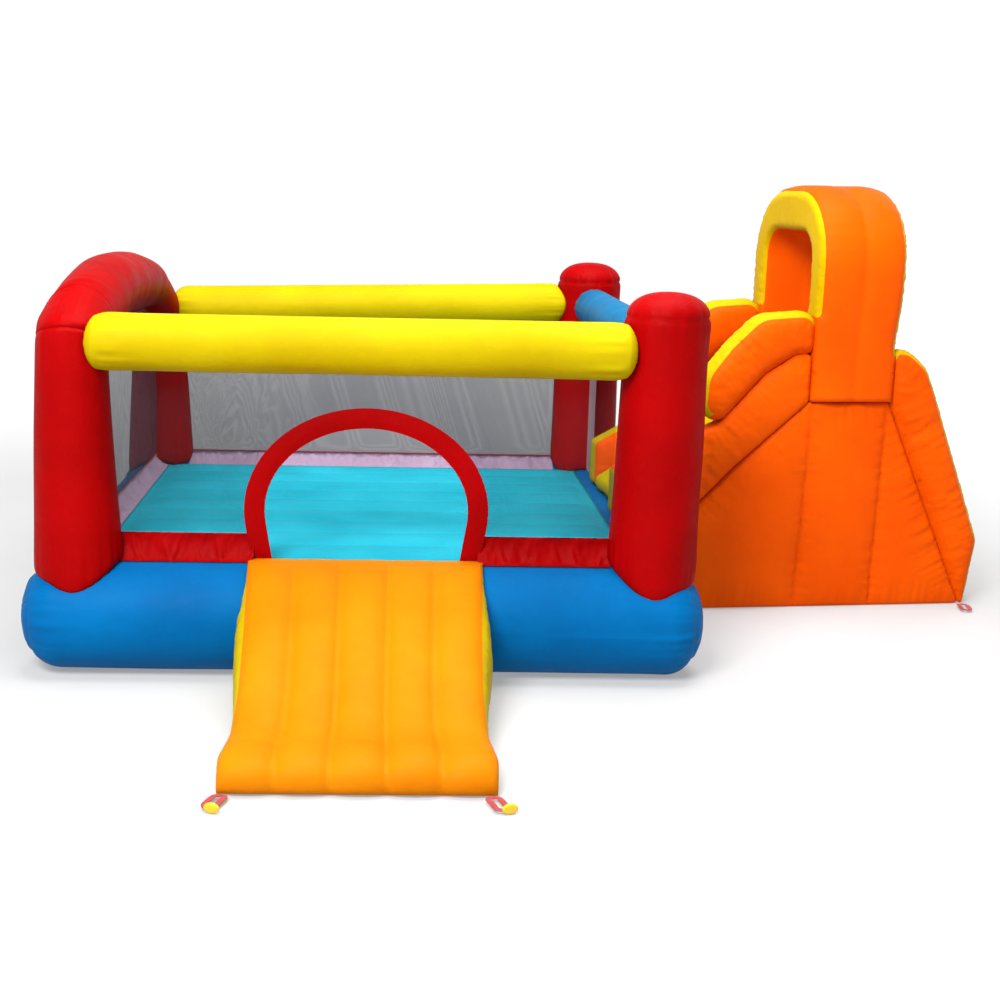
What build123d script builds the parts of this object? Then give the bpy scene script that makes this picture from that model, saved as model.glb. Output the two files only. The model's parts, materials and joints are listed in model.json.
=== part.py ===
from build123d import *
from math import cos, pi, radians, sin
import os

# Inflatable bounce house with an entry ramp and a slide tower.
# Millimetres. X to the right, Y away from the entrance, Z up.
# Origin: on the ground under the middle of the square bounce area.

# ---- walls and clearances
WALL = 6            # stands in for the thin coated cloth of every air chamber
GAP = 1             # seam allowance left between neighbouring chambers
CLOTH = 4           # flat panels that hold no air
NET = 3             # mesh walls

# ---- bounce area
BAY_W = 2270        # between pillar centres, left to right
BAY_D = 2200        # between pillar centres, front to back
TUBE_R = 218        # blue base tubes
TUBE_Y = 1115       # axis of the front and back tubes
TUBE_HALF = 1362    # half length of the front and back tubes
TUBE_NOSE = 105     # rounding of the tube ends
FLOOR_TOP = 420
FLOOR_EDGE = 85     # the floor stops this far short of the pillar centres

# ---- pillars and rails
PILLAR_FOOT_R = 174
PILLAR_TOP_R = 164
ARCH_PILLAR_TOP_R = 144
PILLAR_BASE_Z = 300
PILLAR_TOP_Z = 1522
PILLAR_DOME = 75
RAIL_R = 110
RAIL_Z = 1297
RAIL_OUT = 65       # the front rail sits this far in front of the pillar centres
BACK_RAIL_DROP = 62
SIDE_RAIL_R = 98
ARCH_TUBE_R = 145
ARCH_TUBE_FRONT = (-1075, 1408)      # Y and Z of the tube's axis at its front end
ARCH_TUBE_CROWN = (-250, 1430)
ARCH_TUBE_BACK = (1060, 1318)

# ---- walls of the bounce area
HEM_TOP = 520
APRON_TOP = 548
RING_Z = 640
RING_OUTER = (480, 411)
RING_INNER = (399, 331)
RING_FOOT_HALF = 370
RING_BAND = 81
CREST = 2 * TUBE_R + 2

# ---- entry ramp
RAMP_HALF = 432
RAMP_SIDE = 34
RAMP_TIP_Y = -2410
RAMP_PROFILE = [(-1060, 440), (-1060, 452), (-1240, 440), (-1700, 262), (-2080, 138),
                (-2190, 176), (-2290, 190), (-2370, 160), (RAMP_TIP_Y, 80), (-2385, 0), (-1180, 0)]

# ---- slide tower, drawn square and then turned about its own corner
TOWER_CORNER = (1135, -270)
TOWER_TURN = 6.5
TOWER_W = 900
TOWER_SIDE = 178
DECK_Z = 1000
ARCH_NEAR_U, ARCH_FAR_U = 875, 1222
ARCH_TOP_Z = 1932
ARCH_FOOT_Z = 970
ARCH_CORNER_R = 400
PORTAL_TOP_Z = 1715
PORTAL_R = 115

# ---- blower
FAN_X, FAN_Y, FAN_Z = 560, 1730, 152
FAN_R = 128
FAN_HALF_W = 70
FAN_WALL = 3
NOZZLE_R = 48
NOZZLE_Z = 95
SLEEVE_R = 58

# ---- webbing loops, pegs and zipper
WEB_W = 20
WEB_T = 3
LOOP_LEN = 118
LOOP_W = 58
PEG_R = 4.5
ZIP_LEN = 260
ZIP_X = -600
ZIP_Z = TUBE_R
ZIP_FLAP_OUT = 26
ZIP_PIVOT = 12.5    # pin of the pull tab, out from the tape


# ------------------------------------------------------------------ building helpers
def along_x(shape):
    return Rot(0, 90, 0) * shape


def along_y(shape):
    return Rot(90, 0, 0) * shape


def prism(points, y0, y1, inset=0):
    """Solid between y0 and y1 whose outline is drawn in X and Z, shrunk by inset all round."""
    face = make_face(Polyline(*points, close=True))
    if inset:
        face = offset(face, amount=-inset, kind=Kind.INTERSECTION)
    return Pos(0, y1 - inset, 0) * extrude(Plane.XZ * face, amount=y1 - y0 - 2 * inset)


def side_prism(points, x0, x1, inset=0):
    """The same with the outline drawn in Y and Z, between x0 and x1."""
    face = make_face(Polyline(*points, close=True))
    if inset:
        face = offset(face, amount=-inset, kind=Kind.INTERSECTION)
    return Pos(x0 + inset, 0, 0) * extrude(Plane.YZ * face, amount=x1 - x0 - 2 * inset)


def chamber(draw, *neighbours):
    """Air chamber: draw(inset) hollowed by WALL and kept GAP clear of each neighbour(grow)."""
    outer, inner = draw(0), draw(WALL)
    for neighbour in neighbours:
        outer = outer - neighbour(GAP)
        inner = inner - neighbour(GAP + WALL)
    return outer - inner


def panel(body, *neighbours):
    for neighbour in neighbours:
        body = body - neighbour(GAP)
    return body


# ------------------------------------------------------------------ base and floor
def cross_tube(y, grow=0):
    """Base tube along X at the given y, with rounded ends."""
    bar = Cylinder(TUBE_R + grow, 2 * (TUBE_HALF + grow))
    bar = fillet(bar.edges().filter_by(GeomType.CIRCLE), TUBE_NOSE)
    return Pos(0, y, TUBE_R) * along_x(bar)


def front_tube(grow=0):
    return cross_tube(-TUBE_Y, grow)


def back_tube(grow=0):
    return cross_tube(TUBE_Y, grow)


def side_tube(side, grow=0):
    return Pos(side * BAY_W / 2, 0, TUBE_R) * along_y(Cylinder(TUBE_R + grow, 2 * TUBE_Y))


def left_tube(grow=0):
    return side_tube(-1, grow)


def right_tube(grow=0):
    return side_tube(1, grow)


BASE = (front_tube, back_tube, left_tube, right_tube)


def floor_block(inset=0):
    """Bounce floor before it is cut to fit between the base tubes."""
    half_x = BAY_W / 2 - FLOOR_EDGE - inset
    half_y = BAY_D / 2 - FLOOR_EDGE - inset
    height = FLOOR_TOP - 2 * inset
    return Pos(0, 0, inset + height / 2) * Box(2 * half_x, 2 * half_y, height)


def floor_space(grow=0):
    return floor_block(-grow)


# ------------------------------------------------------------------ pillars, rails and side arch
def arch_tube(grow=0):
    """Red tube that joins the two left pillars over the left wall, highest at its crown."""
    points = [Vector(-BAY_W / 2, *yz) for yz in (ARCH_TUBE_FRONT, ARCH_TUBE_CROWN, ARCH_TUBE_BACK)]
    radius = ARCH_TUBE_R + grow
    body = Pos(*points[0]) * Sphere(radius)
    for start, end in zip(points, points[1:]):
        run = end - start
        middle = Plane(origin=(start + end) / 2, x_dir=(1, 0, 0), z_dir=run)
        body = body + middle * Cylinder(radius, run.length) + Pos(*end) * Sphere(radius)
    return body


def pillar_body(x, y, top_z, top_r, dome, grow=0):
    height = top_z - PILLAR_BASE_Z + grow
    post = Cone(PILLAR_FOOT_R + grow, top_r + grow, height)
    if dome:
        post = fillet(post.edges().filter_by(GeomType.CIRCLE).sort_by(Axis.Z)[-1], dome)
    return Pos(x, y, PILLAR_BASE_Z + height / 2) * post


def pillar(side, row, grow=0):
    """side -1 left or 1 right, row -1 front or 1 back. The left pair end under the arch tube."""
    x, y = side * BAY_W / 2, row * BAY_D / 2
    if side > 0:
        return pillar_body(x, y, PILLAR_TOP_Z, PILLAR_TOP_R, PILLAR_DOME, grow)
    arch_end = ARCH_TUBE_FRONT if row < 0 else ARCH_TUBE_BACK
    return pillar_body(x, y, arch_end[1], ARCH_PILLAR_TOP_R, 0, grow)


def front_left(grow=0):
    return pillar(-1, -1, grow)


def back_left(grow=0):
    return pillar(-1, 1, grow)


def front_right(grow=0):
    return pillar(1, -1, grow)


def back_right(grow=0):
    return pillar(1, 1, grow)


def front_rail(grow=0):
    bar = along_x(Cylinder(RAIL_R + grow, BAY_W - 140))
    return Pos(-26, -BAY_D / 2 - RAIL_OUT, RAIL_Z) * bar


def back_rail(grow=0):
    """The back rail falls towards its left end, where the left pillar is shorter."""
    bar = along_x(Cylinder(RAIL_R + grow, BAY_W))
    slope = BACK_RAIL_DROP / BAY_W * 180 / pi
    return Pos(0, BAY_D / 2, RAIL_Z + 8 - BACK_RAIL_DROP / 2) * Rot(0, -slope, 0) * bar


def right_rail(grow=0):
    return Pos(BAY_W / 2, 0, RAIL_Z) * along_y(Cylinder(SIDE_RAIL_R + grow, BAY_D))


# ------------------------------------------------------------------ ramp
def ramp_body(inset=0):
    return side_prism(RAMP_PROFILE, -RAMP_HALF, RAMP_HALF, inset)


def ramp_side(side, inset=0):
    """Yellow bolster that closes one side of the ramp."""
    inner = RAMP_HALF + GAP
    x0, x1 = sorted((side * inner, side * (inner + RAMP_SIDE)))
    outline = [(-1130, 425), (-1240, 422), (-1700, 250), (-2080, 128), (-2190, 160), (-2290, 172),
               (-2360, 145), (-2392, 80), (-2370, 2), (-1250, 2)]
    return side_prism(outline, x0, x1, inset)


# ------------------------------------------------------------------ slide tower
TOWER = Pos(*TOWER_CORNER, 0) * Rot(0, 0, TOWER_TURN)
WALL_OUTLINE = [(100, 0), (1655, 0), (1215, 970), (875, 970), (528, 660), (305, 432), (100, 432)]
RAIL_OUTLINE = [(-25, 442), (313, 442), (528, 664), (875, 972), (875, 1190), (800, 1185),
                (660, 1095), (456, 868), (-25, 665)]
GUARD_OUTLINE = [(875, 1193), (800, 1188), (660, 1098), (462, 880), (386, 940), (394, 1085),
                 (490, 1210), (622, 1345), (875, 1365)]
CLIMB_OUTLINE = [(1658, 0), (1703, 0), (1738, 297), (1430, 995), (1300, 1180), (1225, 1192), (1225, 972)]
BED_OUTLINE = [(-70, 442), (-60, 470), (873, DECK_Z), (873, 0), (120, 0), (120, 442)]
STEP_COUNT = 4


def tower_prism(outline, v0, v1, inset=0):
    return TOWER * prism(outline, v0, v1, inset + GAP / 2)


def tower_sides(outline, inset=0, far=False):
    if far:
        return tower_prism(outline, TOWER_W - TOWER_SIDE, TOWER_W, inset)
    return tower_prism(outline, 0, TOWER_SIDE, inset)


def tower_middle(outline, inset=0):
    return tower_prism(outline, TOWER_SIDE, TOWER_W - TOWER_SIDE, inset)


def near_slide_rail(grow=0):
    return tower_sides(RAIL_OUTLINE, -grow)


def far_slide_rail(grow=0):
    return tower_sides(RAIL_OUTLINE, -grow, far=True)


def deck_block(inset=0):
    outline = [(ARCH_NEAR_U, 0), (1216, 0), (1216, DECK_Z - 32), (ARCH_NEAR_U, DECK_Z - 32)]
    return tower_middle(outline, inset)


def climb_wedge(inset=0):
    outline = [(1218, 0), (1640, 0), (1262, DECK_Z - 34), (1218, DECK_Z - 34)]
    return tower_middle(outline, inset)


def climb_steps():
    """Half-round treads across the climbing face, each stitched on by its flat back."""
    lean = Vector(1262 - 1640, 0, DECK_Z - 34).normalized()
    out = Vector(lean.Z, 0, -lean.X)
    treads = []
    for step in range(STEP_COUNT):
        foot = Vector(1640, TOWER_W / 2, 0) + lean * (190 + 215 * step) + out * (GAP + 1)
        bar = along_y(Cylinder(42, TOWER_W - 2 * TOWER_SIDE - 40))
        back = Plane(origin=(0, 0, 0), x_dir=(0, 1, 0), z_dir=(-out.X, 0, -out.Z))
        half = bar - back * Pos(0, 0, 60) * Box(1200, 120, 120)
        treads.append(TOWER * Pos(foot.X, foot.Y, foot.Z) * half)
    return Compound(children=treads)


def portal_arch(inset=0):
    """Arch over the deck: rounded outside, with a portal between the guards."""
    inset = inset + GAP / 2
    width, height = TOWER_W - 2 * inset, ARCH_TOP_Z - ARCH_FOOT_Z - 2 * inset
    block = Rectangle(width, height)
    block = fillet(block.vertices().group_by(Axis.Y)[-1], ARCH_CORNER_R - inset)
    hole_w = TOWER_W - 2 * TOWER_SIDE + 2 * inset
    hole_h = PORTAL_TOP_Z - ARCH_FOOT_Z + 2 * inset
    hole = fillet(Rectangle(hole_w, hole_h).vertices().group_by(Axis.Y)[-1], PORTAL_R + inset)
    shift = (ARCH_FOOT_Z - inset + hole_h / 2) - (ARCH_FOOT_Z + inset + height / 2)
    face = block - Pos(0, shift) * hole
    middle = Pos(ARCH_NEAR_U + inset, TOWER_W / 2, ARCH_FOOT_Z + inset + height / 2)
    depth = ARCH_FAR_U - ARCH_NEAR_U - 2 * inset
    return TOWER * middle * extrude(Plane.YZ * face, amount=depth)


# ------------------------------------------------------------------ walls and entrance
def ring_outline(size, foot_half):
    """Half ellipse over straight, slightly closing legs that reach the base tube."""
    half_w, rise = size
    crown = [(half_w * cos(radians(a)), RING_Z + rise * sin(radians(a))) for a in range(0, 181, 9)]
    return crown + [(-foot_half, CREST + 3), (foot_half, CREST + 3)]


def ring_prism(size, foot_half, thickness, grow=0):
    y = -BAY_D / 2
    return prism(ring_outline(size, foot_half), y - thickness / 2 - grow, y + thickness / 2 + grow, -grow)


def ring_outer(grow=0):
    return ring_prism(RING_OUTER, RING_FOOT_HALF + RING_BAND, 8, grow)


def entrance_ring():
    inner = ring_prism(RING_INNER, RING_FOOT_HALF, 40)
    return ring_outer() - inner


def front_sheet(z0, z1, thickness):
    return Pos(0, -BAY_D / 2, (z0 + z1) / 2) * Box(BAY_W, thickness, z1 - z0)


def back_sheet(z0, z1, thickness):
    return Pos(0, BAY_D / 2, (z0 + z1) / 2) * Box(BAY_W, thickness, z1 - z0)


def left_sheet(z0, z1, thickness):
    return Pos(-BAY_W / 2, 0, (z0 + z1) / 2) * Box(thickness, BAY_D, z1 - z0)


def right_sheet(y0, y1):
    z0, z1 = CREST + 4, RAIL_Z
    return Pos(BAY_W / 2, (y0 + y1) / 2, (z0 + z1) / 2) * Box(CLOTH, y1 - y0, z1 - z0)


# ------------------------------------------------------------------ webbing loops and pegs
def webbing_loop(x, y, heading, z=12):
    """Stitched loop that lies out from a corner. heading is its direction in degrees from +X."""
    ring = Pos(LOOP_LEN / 2, 0) * (SlotOverall(LOOP_LEN, LOOP_W) - SlotOverall(LOOP_LEN - 2 * WEB_W,
                                                                            LOOP_W - 2 * WEB_W))
    return Pos(x, y, z) * Rot(0, 0, heading) * extrude(ring, amount=WEB_T)


def ground_peg(x, y, heading):
    """Peg that lies under one side of its loop, with its oval head past the loop's tip."""
    side = (LOOP_W - WEB_W) / 2
    shaft = Pos(LOOP_LEN / 2 + 4, side, PEG_R + 0.5) * along_x(Cylinder(PEG_R, LOOP_LEN - 8))
    head = Plane.YZ * Ellipse(26, 17)
    head = Pos(LOOP_LEN, side, 17.5) * extrude(head, amount=8)
    return Pos(x, y, 0) * Rot(0, 0, heading) * (shaft + head)


RAMP_LOOP_X, RAMP_LOOP_Y = RAMP_HALF - 8, RAMP_TIP_Y - 8
TOWER_LOOP_U = 1690
BACK_LOOP_X, BACK_LOOP_Y = TUBE_HALF - 110, TUBE_Y + 170


def tower_corner(v):
    spot = (TOWER * Pos(TOWER_LOOP_U, v, 0)).position
    return spot.X, spot.Y


LOOPS = {
    "ramp_loop_left": (-RAMP_LOOP_X, RAMP_LOOP_Y, -109),
    "ramp_loop_right": (RAMP_LOOP_X, RAMP_LOOP_Y, -74),
    "tower_loop_near": (*tower_corner(-5), -98),
    "tower_loop_far": (*tower_corner(TOWER_W + 5), 101),
    "back_loop_left": (-BACK_LOOP_X, BACK_LOOP_Y, 100),
    "back_loop_right": (BACK_LOOP_X, BACK_LOOP_Y, 80),
}

# ------------------------------------------------------------------ sleeve, zipper and blower
TUBE_BACK_Y = TUBE_Y + TUBE_R


def sleeve():
    """Cloth air duct from the back tube, pushed over the blower's nozzle."""
    y0, y1 = TUBE_BACK_Y - 90, FAN_Y - FAN_R - 30
    duct = along_y(Cylinder(SLEEVE_R, y1 - y0) - Cylinder(SLEEVE_R - CLOTH, y1 - y0 + 2))
    return Pos(FAN_X, (y0 + y1) / 2, NOZZLE_Z) * duct


def sleeve_strap():
    band = along_y(Cylinder(SLEEVE_R + 4, 22) - Cylinder(SLEEVE_R + 0.5, 24))
    buckle = Pos(0, 0, SLEEVE_R + 6.5) * Box(24, 22, 6)
    return Pos(FAN_X, FAN_Y - FAN_R - 60, NOZZLE_Z) * (band + buckle)


def zip_tape():
    y = TUBE_BACK_Y + GAP + 2
    tape = Pos(ZIP_X, y, ZIP_Z) * Box(ZIP_LEN, CLOTH, 34)
    teeth = Pos(ZIP_X, y + 3.5, ZIP_Z) * Box(ZIP_LEN - 12, 3, 6)
    return tape + teeth


ZIP_START = (ZIP_X - ZIP_LEN / 2 + 22, TUBE_BACK_Y + GAP + 4, ZIP_Z)


def zip_slider():
    body = Pos(0, 4.6, 0) * Box(24, 8, 16)
    slot = Pos(0, 1.6, 0) * Box(30, 7, 8)
    lug = Pos(0, ZIP_PIVOT - 1.5, 0) * Box(8, 6.6, 4.6) - Pos(0, ZIP_PIVOT, 0) * along_x(Cylinder(1.2, 20))
    return Pos(*ZIP_START) * (body - slot + lug)


def zip_pull():
    plate = Pos(0, 0, -20.6) * Box(11, 2, 32.8)
    arms = Pos(0, 0, -2) * (Box(12, 2, 8) - Box(9, 4, 9))
    pin = along_x(Cylinder(0.9, 11.5))
    at = (ZIP_START[0], ZIP_START[1] + ZIP_PIVOT, ZIP_START[2])
    return Pos(*at) * (plate + arms + pin)


def zip_flap():
    """Cover flap: a strip out from the tube, then a hanging cloth over the zipper."""
    strip = Pos(0, ZIP_FLAP_OUT / 2, 0) * Box(ZIP_LEN + 40, ZIP_FLAP_OUT, NET)
    hanging = Pos(0, ZIP_FLAP_OUT - NET / 2, -23) * Box(ZIP_LEN + 40, NET, 49)
    return Pos(ZIP_X, TUBE_BACK_Y, ZIP_Z + 41) * (strip + hanging)


def fan_scroll(inset=0):
    """Round fan case with a round outlet low down towards the bounce house."""
    case = along_x(Cylinder(FAN_R - inset, 2 * (FAN_HALF_W - inset)))
    reach = FAN_R + 80 + 3 * inset
    spout = Pos(0, -reach / 2, NOZZLE_Z - FAN_Z) * along_y(Cylinder(NOZZLE_R - inset, reach))
    return case + spout


INTAKE_R = 62


def fan_case(side):
    """One half of the case. side 1 carries the intake, side -1 the motor."""
    case = fan_scroll() - fan_scroll(FAN_WALL)
    case = case - Pos(side * -500, 0, 0) * Box(1000 + 0.6, 900, 900)
    hole = INTAKE_R if side > 0 else 9
    case = case - Pos(side * FAN_HALF_W, 0, 0) * along_x(Cylinder(hole, 20))
    return Pos(FAN_X, FAN_Y, FAN_Z) * case


def intake_grille():
    x = FAN_X + FAN_HALF_W + 2.2
    disc = Cylinder(INTAKE_R + 10, 4)
    for radius in (16, 28, 40, 52):
        disc = disc - (Cylinder(radius + 4, 10) - Cylinder(radius - 4, 10))
    spokes = [Rot(0, 0, turn) * Box(2 * INTAKE_R + 10, 5, 4) for turn in (0, 60, 120)]
    for spoke in spokes:
        disc = disc + spoke
    return Pos(x, FAN_Y, FAN_Z) * along_x(disc)


def impeller():
    """Drum of curved-in blades between a back plate and a front ring, with its shaft."""
    width = 84
    plate = Pos(0, 0, -width / 2) * Cylinder(96, 3)
    ring = Pos(0, 0, width / 2) * (Cylinder(96, 3) - Cylinder(80, 5))
    hub = Pos(0, 0, -width / 2 + 13) * Cylinder(16, 26)
    shaft = Pos(0, 0, -width / 2 - 22) * Cylinder(5, 44)
    drum = plate + ring + hub + shaft
    for turn in range(0, 360, 18):
        drum = drum + Rot(0, 0, turn) * Pos(88, 0, 0) * Rot(0, 0, 30) * Box(14, 2, width)
    return Pos(FAN_X, FAN_Y, FAN_Z) * along_x(drum)


def fan_motor():
    """Motor can bolted outside the case; its bore clears the impeller shaft."""
    can = fillet(Cylinder(54, 78).edges().filter_by(GeomType.CIRCLE).sort_by(Axis.Z)[0], 14)
    can = can - Pos(0, 0, 20) * Cylinder(5.06, 40)
    return Pos(FAN_X - FAN_HALF_W - 39.6, FAN_Y, FAN_Z) * along_x(can)


def fan_feet():
    feet = [Pos(FAN_X + sx * 50, FAN_Y + sy * 66, 0) * Pos(0, 0, 21) * Box(26, 26, 42)
            for sx in (-1, 1) for sy in (-1, 1)]
    cleared = Pos(FAN_X, FAN_Y, FAN_Z) * along_x(Cylinder(FAN_R + 0.3, 300))
    return Compound(children=[foot - cleared for foot in feet])


def fan_handle():
    bow = Pos(0, 0, FAN_R + 22) * (Box(24, 110, 50) - Pos(0, 0, -8) * Box(40, 82, 34))
    cleared = along_x(Cylinder(FAN_R + 0.3, 300))
    return Pos(FAN_X, FAN_Y, FAN_Z) * (bow - cleared)


def fan_screws():
    """Eight case screws round the rim, heads on the intake side."""
    screws = []
    for turn in range(22, 382, 45):
        at = Rot(turn, 0, 0) * Pos(FAN_HALF_W + 2, 0, FAN_R - 22)
        screws.append(Pos(FAN_X, FAN_Y, FAN_Z) * at * along_x(Cylinder(5, 3.4)))
    return Compound(children=screws)


SWITCH_AT = (FAN_X - FAN_HALF_W - 30, FAN_Y, FAN_Z + 54)


def switch_box():
    x, y, z = SWITCH_AT
    shell = Pos(0, 0, 11) * (Box(44, 40, 26) - Pos(0, 0, 6) * Box(27, 16, 30))
    seat = Pos(FAN_X - FAN_HALF_W - 39.6, FAN_Y, FAN_Z) * along_x(Cylinder(54.3, 300))
    return Pos(x, y, z) * shell - seat


def rocker():
    x, y, z = SWITCH_AT
    key = Pos(0, 0, 2) * Box(24, 13, 10) + Pos(6, 0, 8) * Rot(0, -9, 0) * Box(11, 13, 4)
    return Pos(x, y, z + 18) * key


def cord_gland():
    """Strain-relieved cord inlet at the end of the motor can."""
    x = FAN_X - FAN_HALF_W - 78.9
    gland = Cylinder(10, 14) - Pos(0, 0, -2) * Cylinder(4, 20)
    return Pos(x - 7, FAN_Y, FAN_Z - 24) * along_x(gland)


# ------------------------------------------------------------------ all nodes
def build_nodes():
    nodes = {
        "base_tube_front": chamber(lambda i: cross_tube(-TUBE_Y, -i)),
        "base_tube_back": chamber(lambda i: cross_tube(TUBE_Y, -i)),
        "base_tube_left": chamber(lambda i: side_tube(-1, -i), front_tube, back_tube),
        "base_tube_right": chamber(lambda i: side_tube(1, -i), front_tube, back_tube),
        "bounce_floor": chamber(floor_block, *BASE),
        "pillar_front_left": chamber(lambda i: front_left(-i), front_tube, left_tube, floor_space, arch_tube),
        "pillar_back_left": chamber(lambda i: back_left(-i), back_tube, left_tube, floor_space, arch_tube),
        "pillar_front_right": chamber(lambda i: front_right(-i), front_tube, right_tube, floor_space),
        "pillar_back_right": chamber(lambda i: back_right(-i), back_tube, right_tube, floor_space),
        "left_arch": chamber(lambda i: arch_tube(-i)),
        "rail_front": chamber(lambda i: front_rail(-i), front_left, front_right, arch_tube),
        "rail_back": chamber(lambda i: back_rail(-i), back_left, back_right, arch_tube),
        "rail_right": chamber(lambda i: right_rail(-i), front_right, back_right, front_rail, back_rail),
        "entrance_ring": entrance_ring(),
        "entry_ramp": chamber(ramp_body, front_tube, ring_outer),
    }
    posts = (front_left, back_left, front_right, back_right)
    net = front_sheet(APRON_TOP, RAIL_Z, NET)
    nodes["net_front"] = panel(net, ring_outer, front_rail, front_left, front_right, arch_tube)
    nodes["net_front"] = nodes["net_front"] - Pos(0, -BAY_D / 2, 1100) * Box(GAP, 20, 600)
    apron = front_sheet(CREST + 4, APRON_TOP - GAP, CLOTH)
    nodes["front_apron"] = panel(apron, ring_outer, front_left, front_right, front_tube)
    back_net = back_sheet(HEM_TOP, RAIL_Z, NET)
    nodes["net_back"] = panel(back_net, back_rail, back_left, back_right, arch_tube)
    hems = [panel(sheet(CREST + 2, HEM_TOP - GAP, CLOTH), *posts) for sheet in (back_sheet, left_sheet)]
    nodes["hem_bands"] = Compound(children=[hem.solids()[0] for hem in hems])
    nodes["net_left"] = panel(left_sheet(HEM_TOP, RAIL_Z, NET), *posts, arch_tube, front_rail)
    near = panel(right_sheet(-1000, -95), *posts, right_rail, near_slide_rail)
    far = panel(right_sheet(470, 1000), *posts, right_rail, far_slide_rail)
    nodes["mouth_panels"] = Compound(children=[near.solids().sort_by(SortBy.VOLUME)[-1],
                                               far.solids().sort_by(SortBy.VOLUME)[-1]])
    sides = [chamber(lambda i, s=side: ramp_side(s, i), front_tube) for side in (-1, 1)]
    nodes["ramp_sides"] = Compound(children=[side.solids()[0] for side in sides])

    for name, far in (("near", False), ("far", True)):
        nodes[f"tower_wall_{name}"] = chamber(lambda i: tower_sides(WALL_OUTLINE, i, far), right_tube)
        nodes[f"slide_rail_{name}"] = chamber(lambda i: tower_sides(RAIL_OUTLINE, i, far), right_tube)
        nodes[f"slide_guard_{name}"] = chamber(lambda i: tower_sides(GUARD_OUTLINE, i, far))
        nodes[f"climb_rail_{name}"] = chamber(lambda i: tower_sides(CLIMB_OUTLINE, i, far))
    nodes["slide_bed"] = chamber(lambda i: tower_middle(BED_OUTLINE, i), right_tube)
    nodes["tower_deck"] = chamber(deck_block)
    nodes["climb_wall"] = chamber(climb_wedge)
    nodes["climb_steps"] = climb_steps()
    nodes["tower_arch"] = chamber(portal_arch)

    for name, (x, y, heading) in LOOPS.items():
        nodes[name] = webbing_loop(x, y, heading)
    for side in ("left", "right"):
        nodes[f"ground_peg_{side}"] = ground_peg(*LOOPS[f"ramp_loop_{side}"])

    nodes["inflation_sleeve"] = panel(sleeve(), back_tube)
    nodes["sleeve_strap"] = sleeve_strap()
    nodes["zip_tape"] = zip_tape()
    nodes["zip_slider"] = zip_slider()
    nodes["zip_pull"] = zip_pull()
    nodes["zip_flap"] = zip_flap()
    nodes["blower_case_intake"] = fan_case(1)
    nodes["blower_case_motor"] = fan_case(-1)
    nodes["blower_grille"] = intake_grille()
    nodes["blower_impeller"] = impeller()
    nodes["blower_motor"] = fan_motor()
    nodes["blower_feet"] = fan_feet()
    nodes["blower_handle"] = fan_handle()
    nodes["blower_screws"] = fan_screws()
    nodes["blower_switch_box"] = switch_box()
    nodes["blower_rocker"] = rocker()
    nodes["blower_cord_inlet"] = cord_gland()
    return nodes


def main():
    os.makedirs("parts", exist_ok=True)
    for name, shape in build_nodes().items():
        export_step(shape, os.path.join("parts", f"{name}.step"))


main()
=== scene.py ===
import json
import math

import bpy
import numpy as np
from mathutils import Matrix, Vector
from mathutils.geometry import delaunay_2d_cdt


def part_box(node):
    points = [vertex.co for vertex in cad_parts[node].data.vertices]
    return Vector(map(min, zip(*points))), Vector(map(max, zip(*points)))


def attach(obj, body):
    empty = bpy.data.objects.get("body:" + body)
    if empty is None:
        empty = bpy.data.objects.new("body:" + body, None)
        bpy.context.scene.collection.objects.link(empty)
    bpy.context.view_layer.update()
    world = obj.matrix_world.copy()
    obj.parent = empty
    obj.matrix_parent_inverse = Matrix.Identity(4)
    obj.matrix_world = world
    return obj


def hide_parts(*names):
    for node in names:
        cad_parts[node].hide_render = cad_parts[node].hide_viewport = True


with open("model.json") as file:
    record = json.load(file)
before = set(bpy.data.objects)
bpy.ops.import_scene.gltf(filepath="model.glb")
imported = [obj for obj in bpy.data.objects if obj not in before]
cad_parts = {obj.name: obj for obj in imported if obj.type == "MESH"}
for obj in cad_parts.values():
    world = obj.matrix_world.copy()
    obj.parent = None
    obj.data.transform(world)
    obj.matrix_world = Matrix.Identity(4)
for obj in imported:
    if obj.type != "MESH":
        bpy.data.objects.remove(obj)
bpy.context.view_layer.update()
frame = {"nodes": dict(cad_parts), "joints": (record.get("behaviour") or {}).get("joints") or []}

STEP = 0.013            # mesh spacing on the air chambers, in metres
GROUND = 0.001
HOUSE = "house"


# ================================================================ small maths
def box(node):
    low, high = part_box(node)
    return np.array(low), np.array(high)


def smooth(x):
    x = np.clip(x, 0, 1)
    return x * x * (3 - 2 * x)


def wave_noise(s, length, seed):
    """Smooth uneven noise along a line, from -1 to 1, with features about length apart."""
    rng = np.random.default_rng(seed)
    lattice = rng.uniform(-1, 1, 4096)
    x = np.asarray(s) / length + 1024
    i = np.floor(x).astype(int)
    f = smooth(x - i)
    return lattice[i % 4096] * (1 - f) + lattice[(i + 1) % 4096] * f


def creases(s, length, seed):
    """Noise with narrow valleys, for the gathers that a seam makes in cloth."""
    n = 0.65 * wave_noise(s, length, seed) + 0.35 * wave_noise(s, length * 0.45, seed + 1)
    return 1 - 2 * np.abs(n) ** 0.6


def swell(points, length, seed):
    """Gentle unevenness over a surface, from about -1 to 1."""
    rng = np.random.default_rng(seed)
    total = np.zeros(len(points))
    for _ in range(7):
        direction = rng.normal(size=3)
        direction /= np.linalg.norm(direction)
        total += np.sin(points @ direction * math.tau / (length * rng.uniform(0.7, 1.5))
                        + rng.uniform(0, math.tau))
    return total / 4


def hump(distance, reach):
    """Height of a gather: 0 at its seam, 1 at reach from the seam, then fading."""
    return distance / reach * np.exp(1 - distance / reach)


def patchy(s, pitch, seed, least, along, length, patch_seed):
    """Creases that are stronger in some places than in others. least is their smallest strength."""
    return creases(s, pitch, seed) * (least + (1 - least) * np.abs(wave_noise(along, length, patch_seed)))


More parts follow.
